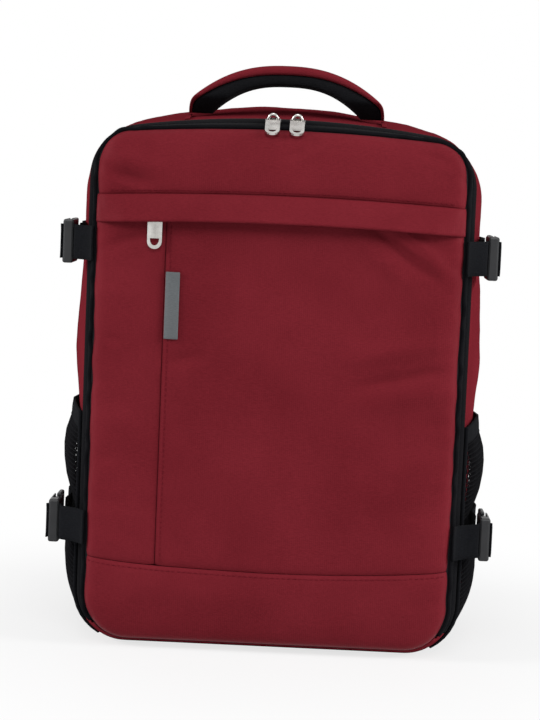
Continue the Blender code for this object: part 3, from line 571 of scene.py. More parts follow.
def lidPanels():
    upright, bottom, low, high = (bag[k] for k in ("uprightSeam", "bottomSeam", "flapLow", "flapHigh"))
    gap = lid["seamGap"]
    zipLow = low + lid["underFlap"]
    v = closeAtEnds(lid["panelRows"])[:, None]

    def spread(left, right, count):
        u = closeAtEnds(count)[None, :]
        return left + (right - left) * u + 0 * v, bottom + gap + (zipLow - bottom - 2 * gap) * v + 0 * u

    pocketSeams = [(1, bottom), (0, upright)]
    lidPanel("pocketPanelLeft", *spread(-lidHalf, upright - gap, lid["leftColumns"]), pocketSeams,
             ["pocket_panel_left"])
    lidPanel("pocketPanelRight", *spread(upright + gap, lidHalf, lid["rightColumns"]), pocketSeams,
             ["pocket_panel_right"])

    u = (closeAtEnds(lid["wideColumns"]) * 2 - 1)[None, :]
    v = closeAtEnds(lid["upperRows"])[:, None]
    x = u * float(lidSide(high)) + 0 * v
    z = high + gap + np.maximum(lidTop(x) - high - gap, 2 * gap) * v
    lidPanel("lidUpperPanel", x, z, [(1, high)], ["lid_upper_panel"])
    v = closeAtEnds(lid["bottomRows"])[:, None]
    x = u * lidHalf + 0 * v
    z = lidFoot(x) + (bottom - gap - lidFoot(x)) * v
    lidPanel("lidBottomPanel", x, z, [(1, bottom)], ["lid_bottom_panel"])


flap = {"columns": 170, "rows": 22, "above": 0.0004, "below": 0.0006, "trim": 0.0004, "cloth": 0.0016,
        "rest": 0.0009, "lift": 0.0074, "liftPower": 0.9, "heldFrom": 0.022, "leastHeld": 0.12, "uneven": 0.18,
        "unevenSize": 0.04, "hem": 0.0012, "hemShare": 0.1, "roll": 0.8}
pocketZip = {"columns": 90, "rows": 8, "half": 0.121, "above": 0.0018, "tall": 0.0120, "sunk": 0.0004,
             "thick": 0.0009}


def pocketFlap():
    low, high = bag["flapLow"] - flap["below"], bag["flapHigh"] + flap["above"]
    u = (closeAtEnds(flap["columns"]) * 2 - 1)[None, :]
    v = np.linspace(0, 1, flap["rows"])[:, None]
    z = high + (low - high) * v + 0 * u
    x = u * (lidSide(z) - flap["trim"])
    d = edgeDistance(x, z, lid["inset"])
    held = np.clip(d / flap["heldFrom"], flap["leastHeld"], 1)
    uneven = 1 + flap["uneven"] * np.abs(softNoise(x, z, flap["unevenSize"], seeds["flap"]))
    lift = flap["rest"] + flap["lift"] * v ** flap["liftPower"] * held * uneven
    turned = np.clip((v - (1 - flap["hemShare"])) / flap["hemShare"], 0, 1)
    tuck = flap["hem"] * turned ** 2  # the hem turns in at the lower edge
    roll = lid["seamRoll"] * np.exp(-(high - z) / lid["seamWidth"])
    smooth = bag["lidBack"] - bag["crown"] * crownShare(d)
    y = np.minimum(lidFace(x, z), smooth) - lift + tuck + roll * flap["roll"]
    piece = gridPiece("pocketFlap", np.stack([x, y, bowed(x, z)], -1), finishes["burgundy"], "lid",
                      outward=(0, -1, 0), replaced=["pocket_flap"], slot="burgundy_cloth")
    solid(piece, flap["cloth"])


def pocketZipTape():
    v = np.linspace(0, 1, pocketZip["rows"])[:, None]
    x = np.linspace(-pocketZip["half"], pocketZip["half"], pocketZip["columns"])[None, :] + 0 * v
    z = bag["flapLow"] + pocketZip["above"] + pocketZip["tall"] * v + 0 * x
    y = lidFace(x, z) + pocketZip["sunk"]
    tape = gridPiece("pocketZipTape", np.stack([x, y, bowed(x, z)], -1), finishes["tape"], "lid",
                     outward=(0, -1, 0), replaced=["pocket_zip_tape"], slot="black_cloth")
    solid(tape, pocketZip["thick"])


label = {"wide": 0.0105, "low": 0.2275, "tall": 0.0480, "columns": 12, "rows": 28, "fromSeam": 0.0006,
         "proud": 0.0014, "curl": 0.0007, "flatter": 0.3, "thick": 0.0010, "edge": 0.0003}


def labelTab():
    # a plain folded tab, caught in the upright seam
    u = np.linspace(0, 1, label["columns"])[None, :]
    v = np.linspace(0, 1, label["rows"])[:, None]
    x = bag["uprightSeam"] + label["fromSeam"] + label["wide"] * u + 0 * v
    z = label["low"] + label["tall"] * v + 0 * u
    curl = label["curl"] * np.sin(math.pi * u) * (1 - label["flatter"] * v)
    y = lidFace(x, z, [(0, bag["uprightSeam"])]) - label["proud"] - curl
    tab = gridPiece("labelTab", np.stack([x, y, z], -1), finishes["label"], "lid", outward=(0, -1, 0),
                    replaced=["label_tab"], slot="label_grey")
    solid(tab, label["thick"])
    tab.modifiers.new("roundedEdge", "BEVEL").width = label["edge"]


stitch = {"length": 0.0027, "space": 0.0013, "thick": 0.00032, "sides": 6, "proud": 0.00022, "points": 120,
          "profile": ((0.0, 0.35), (0.18, 0.9), (0.5, 1.0), (0.82, 0.9), (1.0, 0.35)),  # place, share of thick
          "fromUpright": 0.0034, "fromBottom": 0.0030, "fromFlap": 0.0028, "bottomHalf": 0.131,
          "flapHalf": 0.124, "lowEnd": 0.002, "highEnd": 0.001}


def stitches(name, path, finish, body, slot):
    # short raised threads along a path of points
    path = [Vector(p) for p in path]
    reach = [0.0]
    for a, b in zip(path, path[1:]):
        reach.append(reach[-1] + (b - a).length)

    def pointAt(s):
        i = min(max(int(np.searchsorted(reach, s)) - 1, 0), len(path) - 2)
        return path[i].lerp(path[i + 1], (s - reach[i]) / max(reach[i + 1] - reach[i], 1e-9))

    around, rings = stitch["sides"], len(stitch["profile"])
    verts, faces, s = [], [], stitch["space"]
    while s + stitch["length"] < reach[-1]:
        start, end = pointAt(s), pointAt(s + stitch["length"])
        along = (end - start).normalized()
        side = along.cross(Vector((0, 1, 0)) if abs(along.y) < 0.8 else Vector((1, 0, 0))).normalized()
        lift = side.cross(along)
        base = len(verts)
        for t, wide in stitch["profile"]:
            middle = start.lerp(end, t)
            for k in range(around):
                a = 2 * math.pi * k / around
                verts.append(middle + (side * math.cos(a) + lift * math.sin(a)) * stitch["thick"] * wide)
        faces += [tuple(base + n for n in face) for face in gridFaces(rings, around, True)]
        faces.append(tuple(base + k for k in range(around)))
        faces.append(tuple(base + (rings - 1) * around + k for k in reversed(range(around))))
        s += stitch["length"] + stitch["space"]
    return meshPiece(name, verts, faces, finish, body, slot=slot)


def lidStitches():
    upright, bottom, high = bag["uprightSeam"], bag["bottomSeam"], bag["flapHigh"]

    def onLid(x, z, seam):
        return np.stack([x, lidFace(x, z, [seam]) - stitch["proud"], bowed(x, z)], 1)

    def across(z, half, seam):
        x = np.linspace(-half, half, stitch["points"])
        return onLid(x, np.full_like(x, z), seam)

    z = np.linspace(bottom + stitch["lowEnd"], bag["flapLow"] + stitch["highEnd"], stitch["points"])
    rows = {"uprightStitch": onLid(np.full_like(z, upright + stitch["fromUpright"]), z, (0, upright)),
            "bottomStitch": across(bottom - stitch["fromBottom"], stitch["bottomHalf"], (1, bottom)),
            "flapStitch": across(high + stitch["fromFlap"], stitch["flapHalf"], (1, high))}
    for name, path in rows.items():
        stitches(name, path, finishes["thread"], "lid", "burgundy_cloth")


lining = {"fill": 0.4, "rings": [  # further in than the lid's edge, y
    (0.0004, -0.0880), (0.0004, -0.0862), (0.0022, -0.0858), (0.0132, -0.0853), (0.0352, -0.0850)]}


def lidLining():
    # padded lining behind the lid
    rings = outlineRings([(lid["inset"] + deeper, y) for deeper, y in lining["rings"]])
    ringPiece("lidLining", rings, finishes["lining"], "lid", ["lid_core"], "black_cloth")


lidPanels()
pocketFlap()
pocketZipTape()
labelTab()
lidStitches()
lidLining()
print("lid sewn")

# the zip round the lid: two ribbed tapes, a coil on each where they meet, and piping along the lid's edge
zipRun = {"tape": 0.0010, "points": 240, "firstZ": 0.0150, "rib": 0.00035, "stations": 7, "fromLid": 0.0003,
          "fromGusset": 0.0006, "fromMiddle": 0.0011, "coil": 0.00070, "coilFromMiddle": 0.0006,
          "coilSunk": 0.0004, "coilPoints": 900, "coilSides": 6, "ripple": 0.00018, "ripplePoints": 3}
piping = {"radius": 0.0016, "sides": 10, "points": 520, "ahead": 0.0006, "outside": 0.0002, "pucker": 0.00048,
          "mean": 0.6, "sliderRoom": 0.075, "fade": 0.030,
          "waves": ((43, 1.0, 0.0), (67, 0.6, 1.3), (19, 0.5, 0.4))}  # turns, share, start


def upAndOver(inset, fine=2):
    # the outline from low on the right side, over the top, to low on the left
    line = outline(inset, fine)
    start = int(np.argmax((line[:, 0] > 0.05) & (line[:, 1] > zipRun["firstZ"])))
    mirror = len(line) - start
    return line[start:mirror + 1]


def evenly(line, y, count, first=0.0, last=1.0):
    # count evenly spaced points along an (x, z) line, at a depth y
    reach = np.r_[0, np.cumsum(np.linalg.norm(np.diff(line, axis=0), axis=1))]
    s = np.linspace(first, last, count) * reach[-1]
    x, z = np.interp(s, reach, line[:, 0]), np.interp(s, reach, line[:, 1])
    return np.stack([x, np.full_like(x, y), z], 1)


def fromMiddle(p):
    return (p - bagMiddle).normalized()


def sweptTape(name, front, back, body, replaced):
    ys = np.linspace(front, back, zipRun["stations"])
    rows = []
    for i, y in enumerate(ys):
        rib = zipRun["rib"] * math.sin(math.pi * i / (len(ys) - 1)) ** 2
        rows.append(evenly(upAndOver(insetAt(y) - rib), y, zipRun["points"]))
    piece = gridPiece(name, np.stack(rows), finishes["tape"], body, outward=fromMiddle, replaced=replaced,
                      slot="black_cloth")
    return solid(piece, zipRun["tape"])


def tube(name, path, radius, finish, body, slot, around=8):
    path = np.array(path)
    along = np.gradient(path, axis=0)
    along /= np.linalg.norm(along, axis=1)[:, None]
    rings = []
    for p, t in zip(path, along):
        side = np.cross(t, (0, 1, 0)) if abs(t[1]) < 0.9 else np.cross(t, (1, 0, 0))
        side /= np.linalg.norm(side)
        lift = np.cross(side, t)
        turns = [2 * math.pi * k / around for k in range(around)]
        rings.append(np.array([p + radius * (side * math.cos(a) + lift * math.sin(a)) for a in turns]))
    return ringPiece(name, rings, finish, body, slot=slot)


def beadPath(y, inset, count):
    return evenly(upAndOver(inset), y, count, 0.001, 0.999)


def puckered(path):
    # drawn in and out by the gathered seam, apart from the stretch where the sliders run
    turn = np.linspace(0, 2 * math.pi, len(path))
    wave = sum(share * np.sin(turns * turn + start) for turns, share, start in piping["waves"])
    room = np.clip((np.abs(path[:, 0]) - piping["sliderRoom"]) / piping["fade"], 0, 1)
    reach = path * (1, 0, 1) - (0, 0, bag["height"] / 2)
    reach /= np.linalg.norm(reach, axis=1)[:, None]
    return path - reach * (piping["pucker"] * (piping["mean"] + wave) * room)[:, None]


def zipTapes():
    middle = bag["zipY"]
    sweptTape("zipTapeLid", bag["lidBack"] + zipRun["fromLid"], middle - zipRun["fromMiddle"], "lid",
              ["zip_tape_lid"])
    sweptTape("zipTapeGusset", middle + zipRun["fromMiddle"], bag["gussetFront"] - zipRun["fromGusset"], "bag",
              ["zip_tape_gusset"])
    for part, way, body in (("Lid", -1, "lid"), ("Gusset", 1, "bag")):
        y = middle + way * zipRun["coilFromMiddle"]
        line = beadPath(y, insetAt(y) + zipRun["coilSunk"], zipRun["coilPoints"])
        line[:, 1] += zipRun["ripple"] * np.sin(np.arange(len(line)) * 2 * math.pi / zipRun["ripplePoints"])
        tube(f"zipCoil{part}", line, zipRun["coil"], finishes["tape"], body, "black_cloth", zipRun["coilSides"])
    line = beadPath(bag["lidBack"] - piping["ahead"], bag["edgeInset"] - piping["outside"], piping["points"])
    tube("lidPiping", puckered(line), piping["radius"], finishes["tape"], "lid", "black_cloth", piping["sides"])


sliderLoop = {"x": 0.0088, "y": -0.0772, "foot": 0.3858, "wide": 0.0036, "tall": 0.0048, "lean": 0.0012,
              "wire": 0.00095, "around": 10, "points": 19}


def pullLoop(side, sign):
    # the wire on each slider that its pull hangs from
    loop = [(sign * sliderLoop["x"] + sliderLoop["wide"] * math.cos(a),
             sliderLoop["y"] - sliderLoop["lean"] * math.sin(a),
             sliderLoop["foot"] + sliderLoop["tall"] * math.sin(a))
            for a in np.linspace(0, math.pi, sliderLoop["points"])]
    tube(f"sliderLoop_{side}", loop, sliderLoop["wire"], finishes["nickel"], f"zip_slider_{side}", "nickel",
         sliderLoop["around"])


zipTapes()
for side, sign in sides:
    pullLoop(side, sign)
print("zip laid")

# the shell: gusset with its lining, the strip under the lid, and the padded back
shell = {"rows": 30, "ease": 0.5, "wall": 0.0028, "fill": 0.3, "smoothing": 0.012, "smoothCount": 9,
         "heldPower": 0.7, "bulge": 0.0042, "bulgeZ": (0.150, 0.285), "bulgePower": 1.3, "bulgeX": 0.12,
         "sidePower": 8, "sag": 0.0022, "sagSize": 0.070, "crease": 0.0008, "creaseSize": 0.024,
         "stretch": (1.3, 1.2), "creaseShift": (3, 5, 7), "calmFoot": 0.05}


def smoothInset(y):
    reach = shell["smoothing"]
    return float(np.mean([insetAt(y + d) for d in np.linspace(-reach, reach, shell["smoothCount"])]))


def fromAxis(p):
    return Vector((p.x, 0, p.z - bagMiddle.z))


def slack(x, y, z, held):
    # how far the cloth lies inside the outline: it sags, creases, and stands out above the pockets
    p = Vector((x * shell["stretch"][0], y * shell["stretch"][1], z))
    sag = abs(noise.noise(p / shell["sagSize"])) * shell["sag"]
    crease = abs(noise.noise(p / shell["creaseSize"] + Vector(shell["creaseShift"]))) * shell["crease"]
    low, high = shell["bulgeZ"]
    rise = math.sin(math.pi * min(max((z - low) / (high - low), 0.0), 1.0)) ** shell["bulgePower"]
    bulge = shell["bulge"] * rise * min(1.0, abs(x) / shell["bulgeX"]) ** shell["sidePower"]
    return (sag + crease) * held * min(1.0, max(0.0, z / shell["calmFoot"])) - bulge * held


def gussetShell():
    front, back = bag["gussetFront"], bag["gussetBack"]
    rows = []
    for y in front + (back - front) * closeAtEnds(shell["rows"], shell["ease"]):
        share = (y - front) / (back - front)
        held = math.sin(math.pi * min(max(share, 0.0), 1.0)) ** shell["heldPower"]
        line = outline(insetAt(y) * (1 - held) + max(smoothInset(y), insetAt(y)) * held, 2)
        after, before = np.roll(line, -1, 0), np.roll(line, 1, 0)
        away = np.stack([after[:, 1] - before[:, 1], before[:, 0] - after[:, 0]], 1)
        away /= np.linalg.norm(away, axis=1)[:, None]
        inside = np.array([slack(x, y, z, held) for x, z in line])
        line = line - away * inside[:, None]
        rows.append(np.stack([line[:, 0], np.full(len(line), y), line[:, 1]], 1))
    piece = gridPiece("gussetShell", np.stack(rows), [finishes["burgundyMatt"], finishes["lining"]], "bag",
                      closed=True, outward=fromAxis, replaced=["gusset"], slot="burgundy_cloth")
    solid(piece, shell["wall"], rimFinish=1)


strip = {"rows": 8, "points": 90, "cloth": 0.0014, "fromLid": 0.0004, "fromGusset": 0.0006}


def footStrip():
    # the strip under the lid, between the lower ends of the zip
    front, back = bag["lidBack"] + strip["fromLid"], bag["gussetFront"] - strip["fromGusset"]
    rows = []
    for y in np.linspace(front, back, strip["rows"]):
        line = outline(insetAt(y), 2)
        start = int(np.argmax((line[:, 0] > 0.05) & (line[:, 1] > zipRun["firstZ"]))) - 1
        foot = np.concatenate([line[-start:], line[:start + 1]])
        rows.append(evenly(foot, y, strip["points"]))
    piece = gridPiece("footStrip", np.stack(rows), finishes["burgundyMatt"], "bag", outward=fromMiddle,
                      replaced=["bottom_front_strip"], slot="burgundy_cloth")
    solid(piece, strip["cloth"])


backPanel = {"fill": 0.6, "rings": [  # inset, y
    (0.0120, 0.0855), (0.0100, 0.0862), (0.0094, 0.0885), (0.0100, 0.0920), (0.0125, 0.0938), (0.0180, 0.0943),
    (0.0400, 0.0940)]}
quilt = {"middle": (0, 0.0940, 0.1925), "half": (0.0925, 0.1470), "depth": 0.0108, "columns": 70, "rows": 96,
         "ease": 0.6, "rounding": 0.16, "sidePower": 7, "endPower": 9, "channels": (-0.62, -0.22, 0.18, 0.58),
         "channelDepth": 0.34, "channelWide": 0.022, "spineDepth": 0.40, "spineWide": 0.055, "fill": 0.7,
         "cloth": 0.0016}


def quiltedPad():
    # a crowned pad on the back, with sewn channels across it and one down the middle
    u = (closeAtEnds(quilt["columns"], quilt["ease"]) * 2 - 1)[None, :]
    v = (closeAtEnds(quilt["rows"], quilt["ease"]) * 2 - 1)[:, None]
    x = quilt["middle"][0] + quilt["half"][0] * u * np.sqrt(1 - quilt["rounding"] * v ** 2)
    z = quilt["middle"][2] + quilt["half"][1] * v * np.sqrt(1 - quilt["rounding"] * u ** 2)
    rise = np.sqrt(np.clip(1 - np.abs(u) ** quilt["sidePower"], 0, 1))
    rise = rise * np.sqrt(np.clip(1 - np.abs(v) ** quilt["endPower"], 0, 1))
    for level in quilt["channels"]:
        groove = np.exp(-((v - level) / quilt["channelWide"]) ** 2) * np.clip(1.2 - np.abs(u) ** 4, 0, 1)
        rise = rise - quilt["channelDepth"] * groove
    spine = np.exp(-(u / quilt["spineWide"]) ** 2) * np.clip(1 - np.abs(v) ** 6, 0, 1)
    rise = rise - quilt["spineDepth"] * spine
    y = quilt["middle"][1] + quilt["depth"] * np.clip(rise, 0, 1)
    piece = gridPiece("backPad", np.stack([x, y + 0 * x, z], -1), finishes["mesh"], "bag", outward=(0, 1, 0),
                      replaced=["back_pad"], slot="black_mesh")
    solid(piece, quilt["cloth"])


gussetShell()
footStrip()
ringPiece("backPanel", outlineRings(backPanel["rings"]), finishes["padCloth"], "bag", ["back_panel"],
          "black_cloth")
quiltedPad()
print("shell and back made")

# mesh side pockets; their swell comes before the webbing, because the lower straps lie over it
pocket = {
    "front": -0.0620, "back": 0.0700, "low": -0.0020, "high": 0.1570, "off": 0.0010, "fullness": 0.0092,
    "fullPower": 0.6, "cell": 0.0046, "strand": 0.0011, "cellSpan": 0.75, "hem": 0.0115, "hemLap": 0.0010,
    "hemOff": 0.0003, "hemGather": 0.0004, "gathers": 900, "hemCloth": 0.0016, "hemColumns": 60, "hemRows": 7,
    "binding": 0.0016, "bindingOff": 0.0003, "bindingPoints": 30,
    "swell": [  # height, share of the fullness: held in by the hem, the lower strap and the bottom seam
        (-0.002, 0.00), (0.014, 0.22), (0.032, 0.52), (0.050, 0.68), (0.060, 0.66), (0.068, 0.50),
        (0.073, 0.30), (0.099, 0.30), (0.104, 0.50), (0.112, 0.76), (0.124, 0.96), (0.134, 1.00),
        (0.144, 0.88), (0.152, 0.60), (0.158, 0.36), (0.169, 0.26),
    ],
}


def pocketPoint(y, run):
    # (x, z) of the net on the right side; run is the height, carried on round the bottom corner
    u = (y - pocket["front"]) / (pocket["back"] - pocket["front"])
    across = math.sin(math.pi * min(max(u, 0.0), 1.0)) ** pocket["fullPower"]
    heights, shares = zip(*pocket["swell"])
    out = pocket["off"] + pocket["fullness"] * across * float(np.interp(run, heights, shares))
    half = bag["halfWidth"] - insetAt(y)
    corner = lowCornerAt(insetAt(y))
    turn = min(0.0, run - corner) / corner
    x = half - corner + (corner + out) * math.cos(turn)
    return x, max(run, corner) + (corner + out) * math.sin(turn)


# webbing: the short stubs on the lid and the side straps behind the buckles
strap = {
    "width": 0.025, "web": 0.0014, "columns": 9, "selvedge": 0.00022, "upperZ": 0.2930, "lowerZ": 0.0860,
    "upperSeat": 0.1510, "lowerSeat": 0.1552, "buckleDepth": 0.0080, "mouth": -0.0360, "housingFront": -0.0660,
    "overGusset": 0.0013, "overPocket": 0.0014, "inPlug": (-0.0010, 0.002), "rear": (0.064, 0.003), "steps": 8,
    "stubSlant": (0.45, 0.0085),  # share of the way out to the seat, and how far behind the lid's back
    "stubFromEdge": ((0.0010, -0.0050), (0.0030, 0.0010)),  # out and back from the lid's edge
    "stubInside": (  # out and back from the seat, at the housing's front
        (-0.0022, -0.0050), (-0.0009, -0.0005), (-0.0006, 0.0028), (0.0024, 0.0045)),
    "stubOutside": ((-0.0022, 0.0045), (0.0007, 0.0030), (0.0009, 0.0006)),  # from the housing's outer face
}


def strapBed(y, low, high):
    # x of the surface that the strap lies on
    if low > pocket["high"]:
        return bag["halfWidth"] - insetAt(y) + strap["overGusset"]
    return max(pocketPoint(y, z)[0] for z in (low, high)) + strap["overPocket"]


def smoothPath(points, steps=5):
    points = [np.array(p, float) for p in points]
    ends = [points[0]] + points + [points[-1]]
    made = []
    for a, b, c, d in zip(ends, ends[1:], ends[2:], ends[3:]):
        for i in range(steps):
            t = i / steps
            made.append(0.5 * (2 * b + (c - a) * t + (2 * a - 5 * b + 4 * c - d) * t ** 2
                               + (3 * b - a - 3 * c + d) * t ** 3))
    return np.array(made + [points[-1]])


def webRibbon(name, path, low, high, body, replaced):
    # path in (x, y), standing from low to high, with a slightly raised selvedge at both edges
    v = np.linspace(0, 1, strap["columns"])[None, :]
    along = np.gradient(path, axis=0)
    along /= np.linalg.norm(along, axis=1)[:, None]
    lift = strap["selvedge"] * (np.abs(v * 2 - 1) ** 6)
    x = path[:, :1] + 0 * v + along[:, 1:2] * lift
    y = path[:, 1:2] + 0 * v - along[:, :1] * lift
    z = low + (high - low) * v + 0 * x
    piece = gridPiece(name, np.stack([x, y, z], -1), finishes["webbing"], body, replaced=replaced,
                      slot="black_cloth")
    return solid(piece, strap["web"], 0.0)


def sideWebbing(place, sign):
    level = place.split("_")[0]
    seat, z = strap[level + "Seat"], strap[level + "Z"]
    low, high = z - strap["width"] / 2, z + strap["width"] / 2
    far = seat + strap["buckleDepth"]
    edge = bag["halfWidth"] - bag["edgeInset"]
    front = strap["housingFront"]
    slant, behind = strap["stubSlant"]
    stub = [(edge + out, bag["lidBack"] + y) for out, y in strap["stubFromEdge"]]
    stub.append((edge + (seat - edge) * slant, bag["lidBack"] + behind))
    stub += [(seat + out, front + y) for out, y in strap["stubInside"]]
    stub += [(far + out, front + y) for out, y in strap["stubOutside"]]
    path = smoothPath([(sign * x, y) for x, y in stub])
    webRibbon(f"stubWebbing_{place}", path, low, high, "lid", [f"strap_stub_{place}"])
    inward, deep = strap["inPlug"]
    bend, end = strap["rear"]
    depths = (-0.012, 0.004, bag["fullest"], bag["gussetBack"] * 0.6, bend, bag["gussetBack"] - end)
    tail = [(seat + inward, strap["mouth"] + deep)] + [(strapBed(y, low, high), y) for y in depths]
    path = smoothPath([(sign * x, y) for x, y in tail], strap["steps"])
    webRibbon(f"sideWebbing_{place}", path, low, high, "bag", [f"side_strap_{place}"])


for place, sign in places:
    sideWebbing(place, sign)
print("webbing run")


def meshPocket(side, sign):
    # a net of six-sided cells
    cell = pocket["cell"]
    up, along = cell * pocket["cellSpan"], cell * math.sqrt(3) / 2  # from one cell to the next
    verts, faces, known = [], [], {}

    def corner(y, z):
        key = (round(y / cell * 12), round(z / cell * 12))
        if key not in known:
            known[key] = len(verts)
            x, high = pocketPoint(y, z)
            verts.append((sign * x, y, high))
        return known[key]

    rows = int((pocket["high"] - pocket["low"]) / up)
    columns = int((pocket["back"] - pocket["front"]) / along)
    for i in range(rows):
        for j in range(columns):
            y = pocket["front"] + (j + 0.75 + 0.5 * (i % 2)) * along
            z = pocket["low"] + (i + 0.8) * up
            if y > pocket["back"] - cell * 0.4 or z > pocket["high"]:
                continue
            turns = [math.pi / 6 + k * math.pi / 3 for k in range(6)]
            faces.append(tuple(corner(y + cell / 2 * math.cos(a), z + cell / 2 * math.sin(a)) for a in turns))
    piece = meshPiece(f"meshPocket_{side}", verts, faces, finishes["mesh"], "bag", [f"mesh_pocket_{side}"],
                      "black_mesh")
    faceAlong(piece, (sign, 0, 0))
    strands = piece.modifiers.new("strands", "WIREFRAME")
    strands.thickness = pocket["strand"]
    strands.use_even_offset = False


def pocketHem(side, sign):
    # a gathered elastic hem along the top of the net
    v = np.linspace(0, 1, pocket["hemRows"])[:, None]
    y = np.linspace(pocket["front"], pocket["back"], pocket["hemColumns"])[None, :] + 0 * v
    z = pocket["high"] - pocket["hemLap"] + (pocket["hem"] + pocket["hemLap"]) * v + 0 * y
    gather = pocket["hemGather"] * np.sin(y * pocket["gathers"]) * np.sin(math.pi * v)
    x = np.vectorize(pocketPoint)(y, z)[0] + pocket["hemOff"] + gather
    hem = gridPiece(f"pocketHem_{side}", np.stack([sign * x, y, z], -1), finishes["webbing"], "bag",
                    outward=(sign, 0, 0), slot="black_cloth")
    solid(hem, pocket["hemCloth"], 0.0)


def pocketBinding(side, sign):
    # bound edges down the front, along the bottom and up the back
    front, back, low, count = (pocket[k] for k in ("front", "back", "low", "bindingPoints"))
    top = pocket["high"] + pocket["hem"]
    edge = [(front, z) for z in np.linspace(top, low, count)]
    edge += [(y, low) for y in np.linspace(front, back, count)[1:]]
    edge += [(back, z) for z in np.linspace(low, top, count)[1:]]
    path = [(y, *pocketPoint(y, z)) for y, z in edge]
    tube(f"pocketBinding_{side}", [(sign * (x + pocket["bindingOff"]), y, z) for y, x, z in path],
         pocket["binding"], finishes["webbing"], "bag", "black_cloth")


for side, sign in sides:
    meshPocket(side, sign)
    pocketHem(side, sign)
    pocketBinding(side, sign)
print("mesh pockets sewn")

# the carry handle: a burgundy cover over a black mesh pad
handle = {"span": 0.144, "rise": 0.0366, "upright": 0.25, "uprightPower": 60, "round": 2.4, "steps": 72,
          "insideSpan": 0.109, "insideRise": 0.0216, "insideRound": 2.6, "cover": 0.0072, "coverEnd": 0.0023,
          "padOverlap": 0.08, "y": -0.038, "foot": 0.3902, "width": 0.034, "padWidth": 0.96,
          "footWidth": 0.0040, "flare": 2.4, "fill": 0.8, "tab": 0.0012, "tabWide": 0.0032,
          "tabInside": 0.0002, "tabCrown": 0.0002, "tabFront": 0.0015, "tabBack": 0.010}


def handleEdge(span, rise, upright, roundness):
    # an edge of the handle from end to end: short upright ends, then a long flat arch
    u = -np.cos(np.linspace(0, math.pi, handle["steps"] + 1))
    ends = np.sqrt(1 - np.abs(u) ** handle["uprightPower"])
    h = rise * (upright * ends + (1 - upright) * (1 - np.abs(u) ** roundness))
    return np.stack([span / 2 * u, h], 1)


def roundedSection(wide, thick, count=28, power=4.5):
    a = np.linspace(0, 2 * math.pi, count, endpoint=False)
    across = np.sign(np.cos(a)) * np.abs(np.cos(a)) ** (2 / power) * wide / 2
    through = np.sign(np.sin(a)) * np.abs(np.sin(a)) ** (2 / power) * thick / 2
    return across, through


def handleLayer(name, isPad, finish, replaced, slot):
    # towards its ends the cover thins and the pad thickens
    arch = handle["upright"], handle["round"]
    outside = handleEdge(handle["span"], handle["rise"], *arch)
    seam = handleEdge(handle["span"] - 2 * handle["coverEnd"], handle["rise"] - handle["cover"], *arch)
    inside = handleEdge(handle["insideSpan"], handle["insideRise"], 0.0, handle["insideRound"])
    widen = handle["padWidth"] if isPad else 1.0
    across, through = roundedSection(1.0, 1.0)
    rings = []
    for top, middle, low in zip(outside, seam, inside):
        near, far = (middle + handle["padOverlap"] * (top - middle), low) if isPad else (top, middle)
        place = near + (far - near) * (through + 0.5)[:, None]
        wide = np.minimum(handle["width"], handle["footWidth"] + place[:, 1] * handle["flare"]) * widen
        rings.append(np.stack([place[:, 0], handle["y"] + across * wide, handle["foot"] + place[:, 1]], 1))
    ringPiece(name, rings, finish, "handle", replaced, slot)


def handleTab(side, sign):
    # a narrow tab under each end of the handle, sewn to the gusset as far as the zip
    u = np.linspace(-1, 1, 9)[None, :]
    y = np.linspace(bag["gussetFront"] + handle["tabFront"], handle["y"] + handle["tabBack"], 16)[:, None]
    x = sign * (handle["span"] / 2 - handle["tabInside"]) + handle["tabWide"] / 2 * u + 0 * y
    inset = np.vectorize(insetAt)(y) + 0 * x
    radius = np.vectorize(archAt)(inset)
    top = bag["height"] - inset - radius + np.sqrt(radius ** 2 - x ** 2)
    z = top + handle["tab"] / 2 + handle["tabCrown"] * (1 - u ** 6)
    tab = gridPiece(f"handleTab_{side}", np.stack([x, y + 0 * x, z], -1), finishes["burgundyMatt"], "bag",
                    outward=(0, 0, 1), slot="burgundy_cloth")
    solid(tab, handle["tab"], 0.0)


for side, sign in sides:
    handleTab(side, sign)
handleLayer("handleCover", False, finishes["burgundyMatt"], ["handle_cover"], "burgundy_cloth")
handleLayer("handlePad", True, finishes["mesh"], ["handle_pad"], "black_mesh")
print("handle made")

# shoulder straps on a yoke, with webbing and lower tabs, behind the back pad
shoulder = {
    "y": 0.1106, "width": 0.058, "pad": 0.0098, "fill": 0.7, "topX": 0.048, "topZ": 0.356, "endZ": 0.134,
    "spread": 0.036, "straight": 0.020, "bends": ((0.36, 0.36), (0.85, 0.68)),  # shares of spread and drop
    "steps": 12, "points": 36, "power": 3.4, "narrow": 0.10, "narrowFrom": 0.86, "sewnDepth": 0.0007,
    "sewnAt": 0.40, "sewnWide": 0.0022, "bandHalf": 0.0125, "bandOver": 0.0004, "band": 0.0008, "columns": 9,
    "anchorX": 0.108, "anchorTop": 0.043, "adjusterTall": 0.026, "adjusterGap": 0.0008, "webSteps": 8,
    "webStraight": (0.010, 0.014), "webEnd": 0.0006, "selvedge": 0.00020,
}
block = {"columns": 30, "points": 28, "power": 4.0, "endPower": 9, "endTall": 0.72, "endThick": 0.6,
         "tabFill": 0.4, "yokeFill": 0.6}


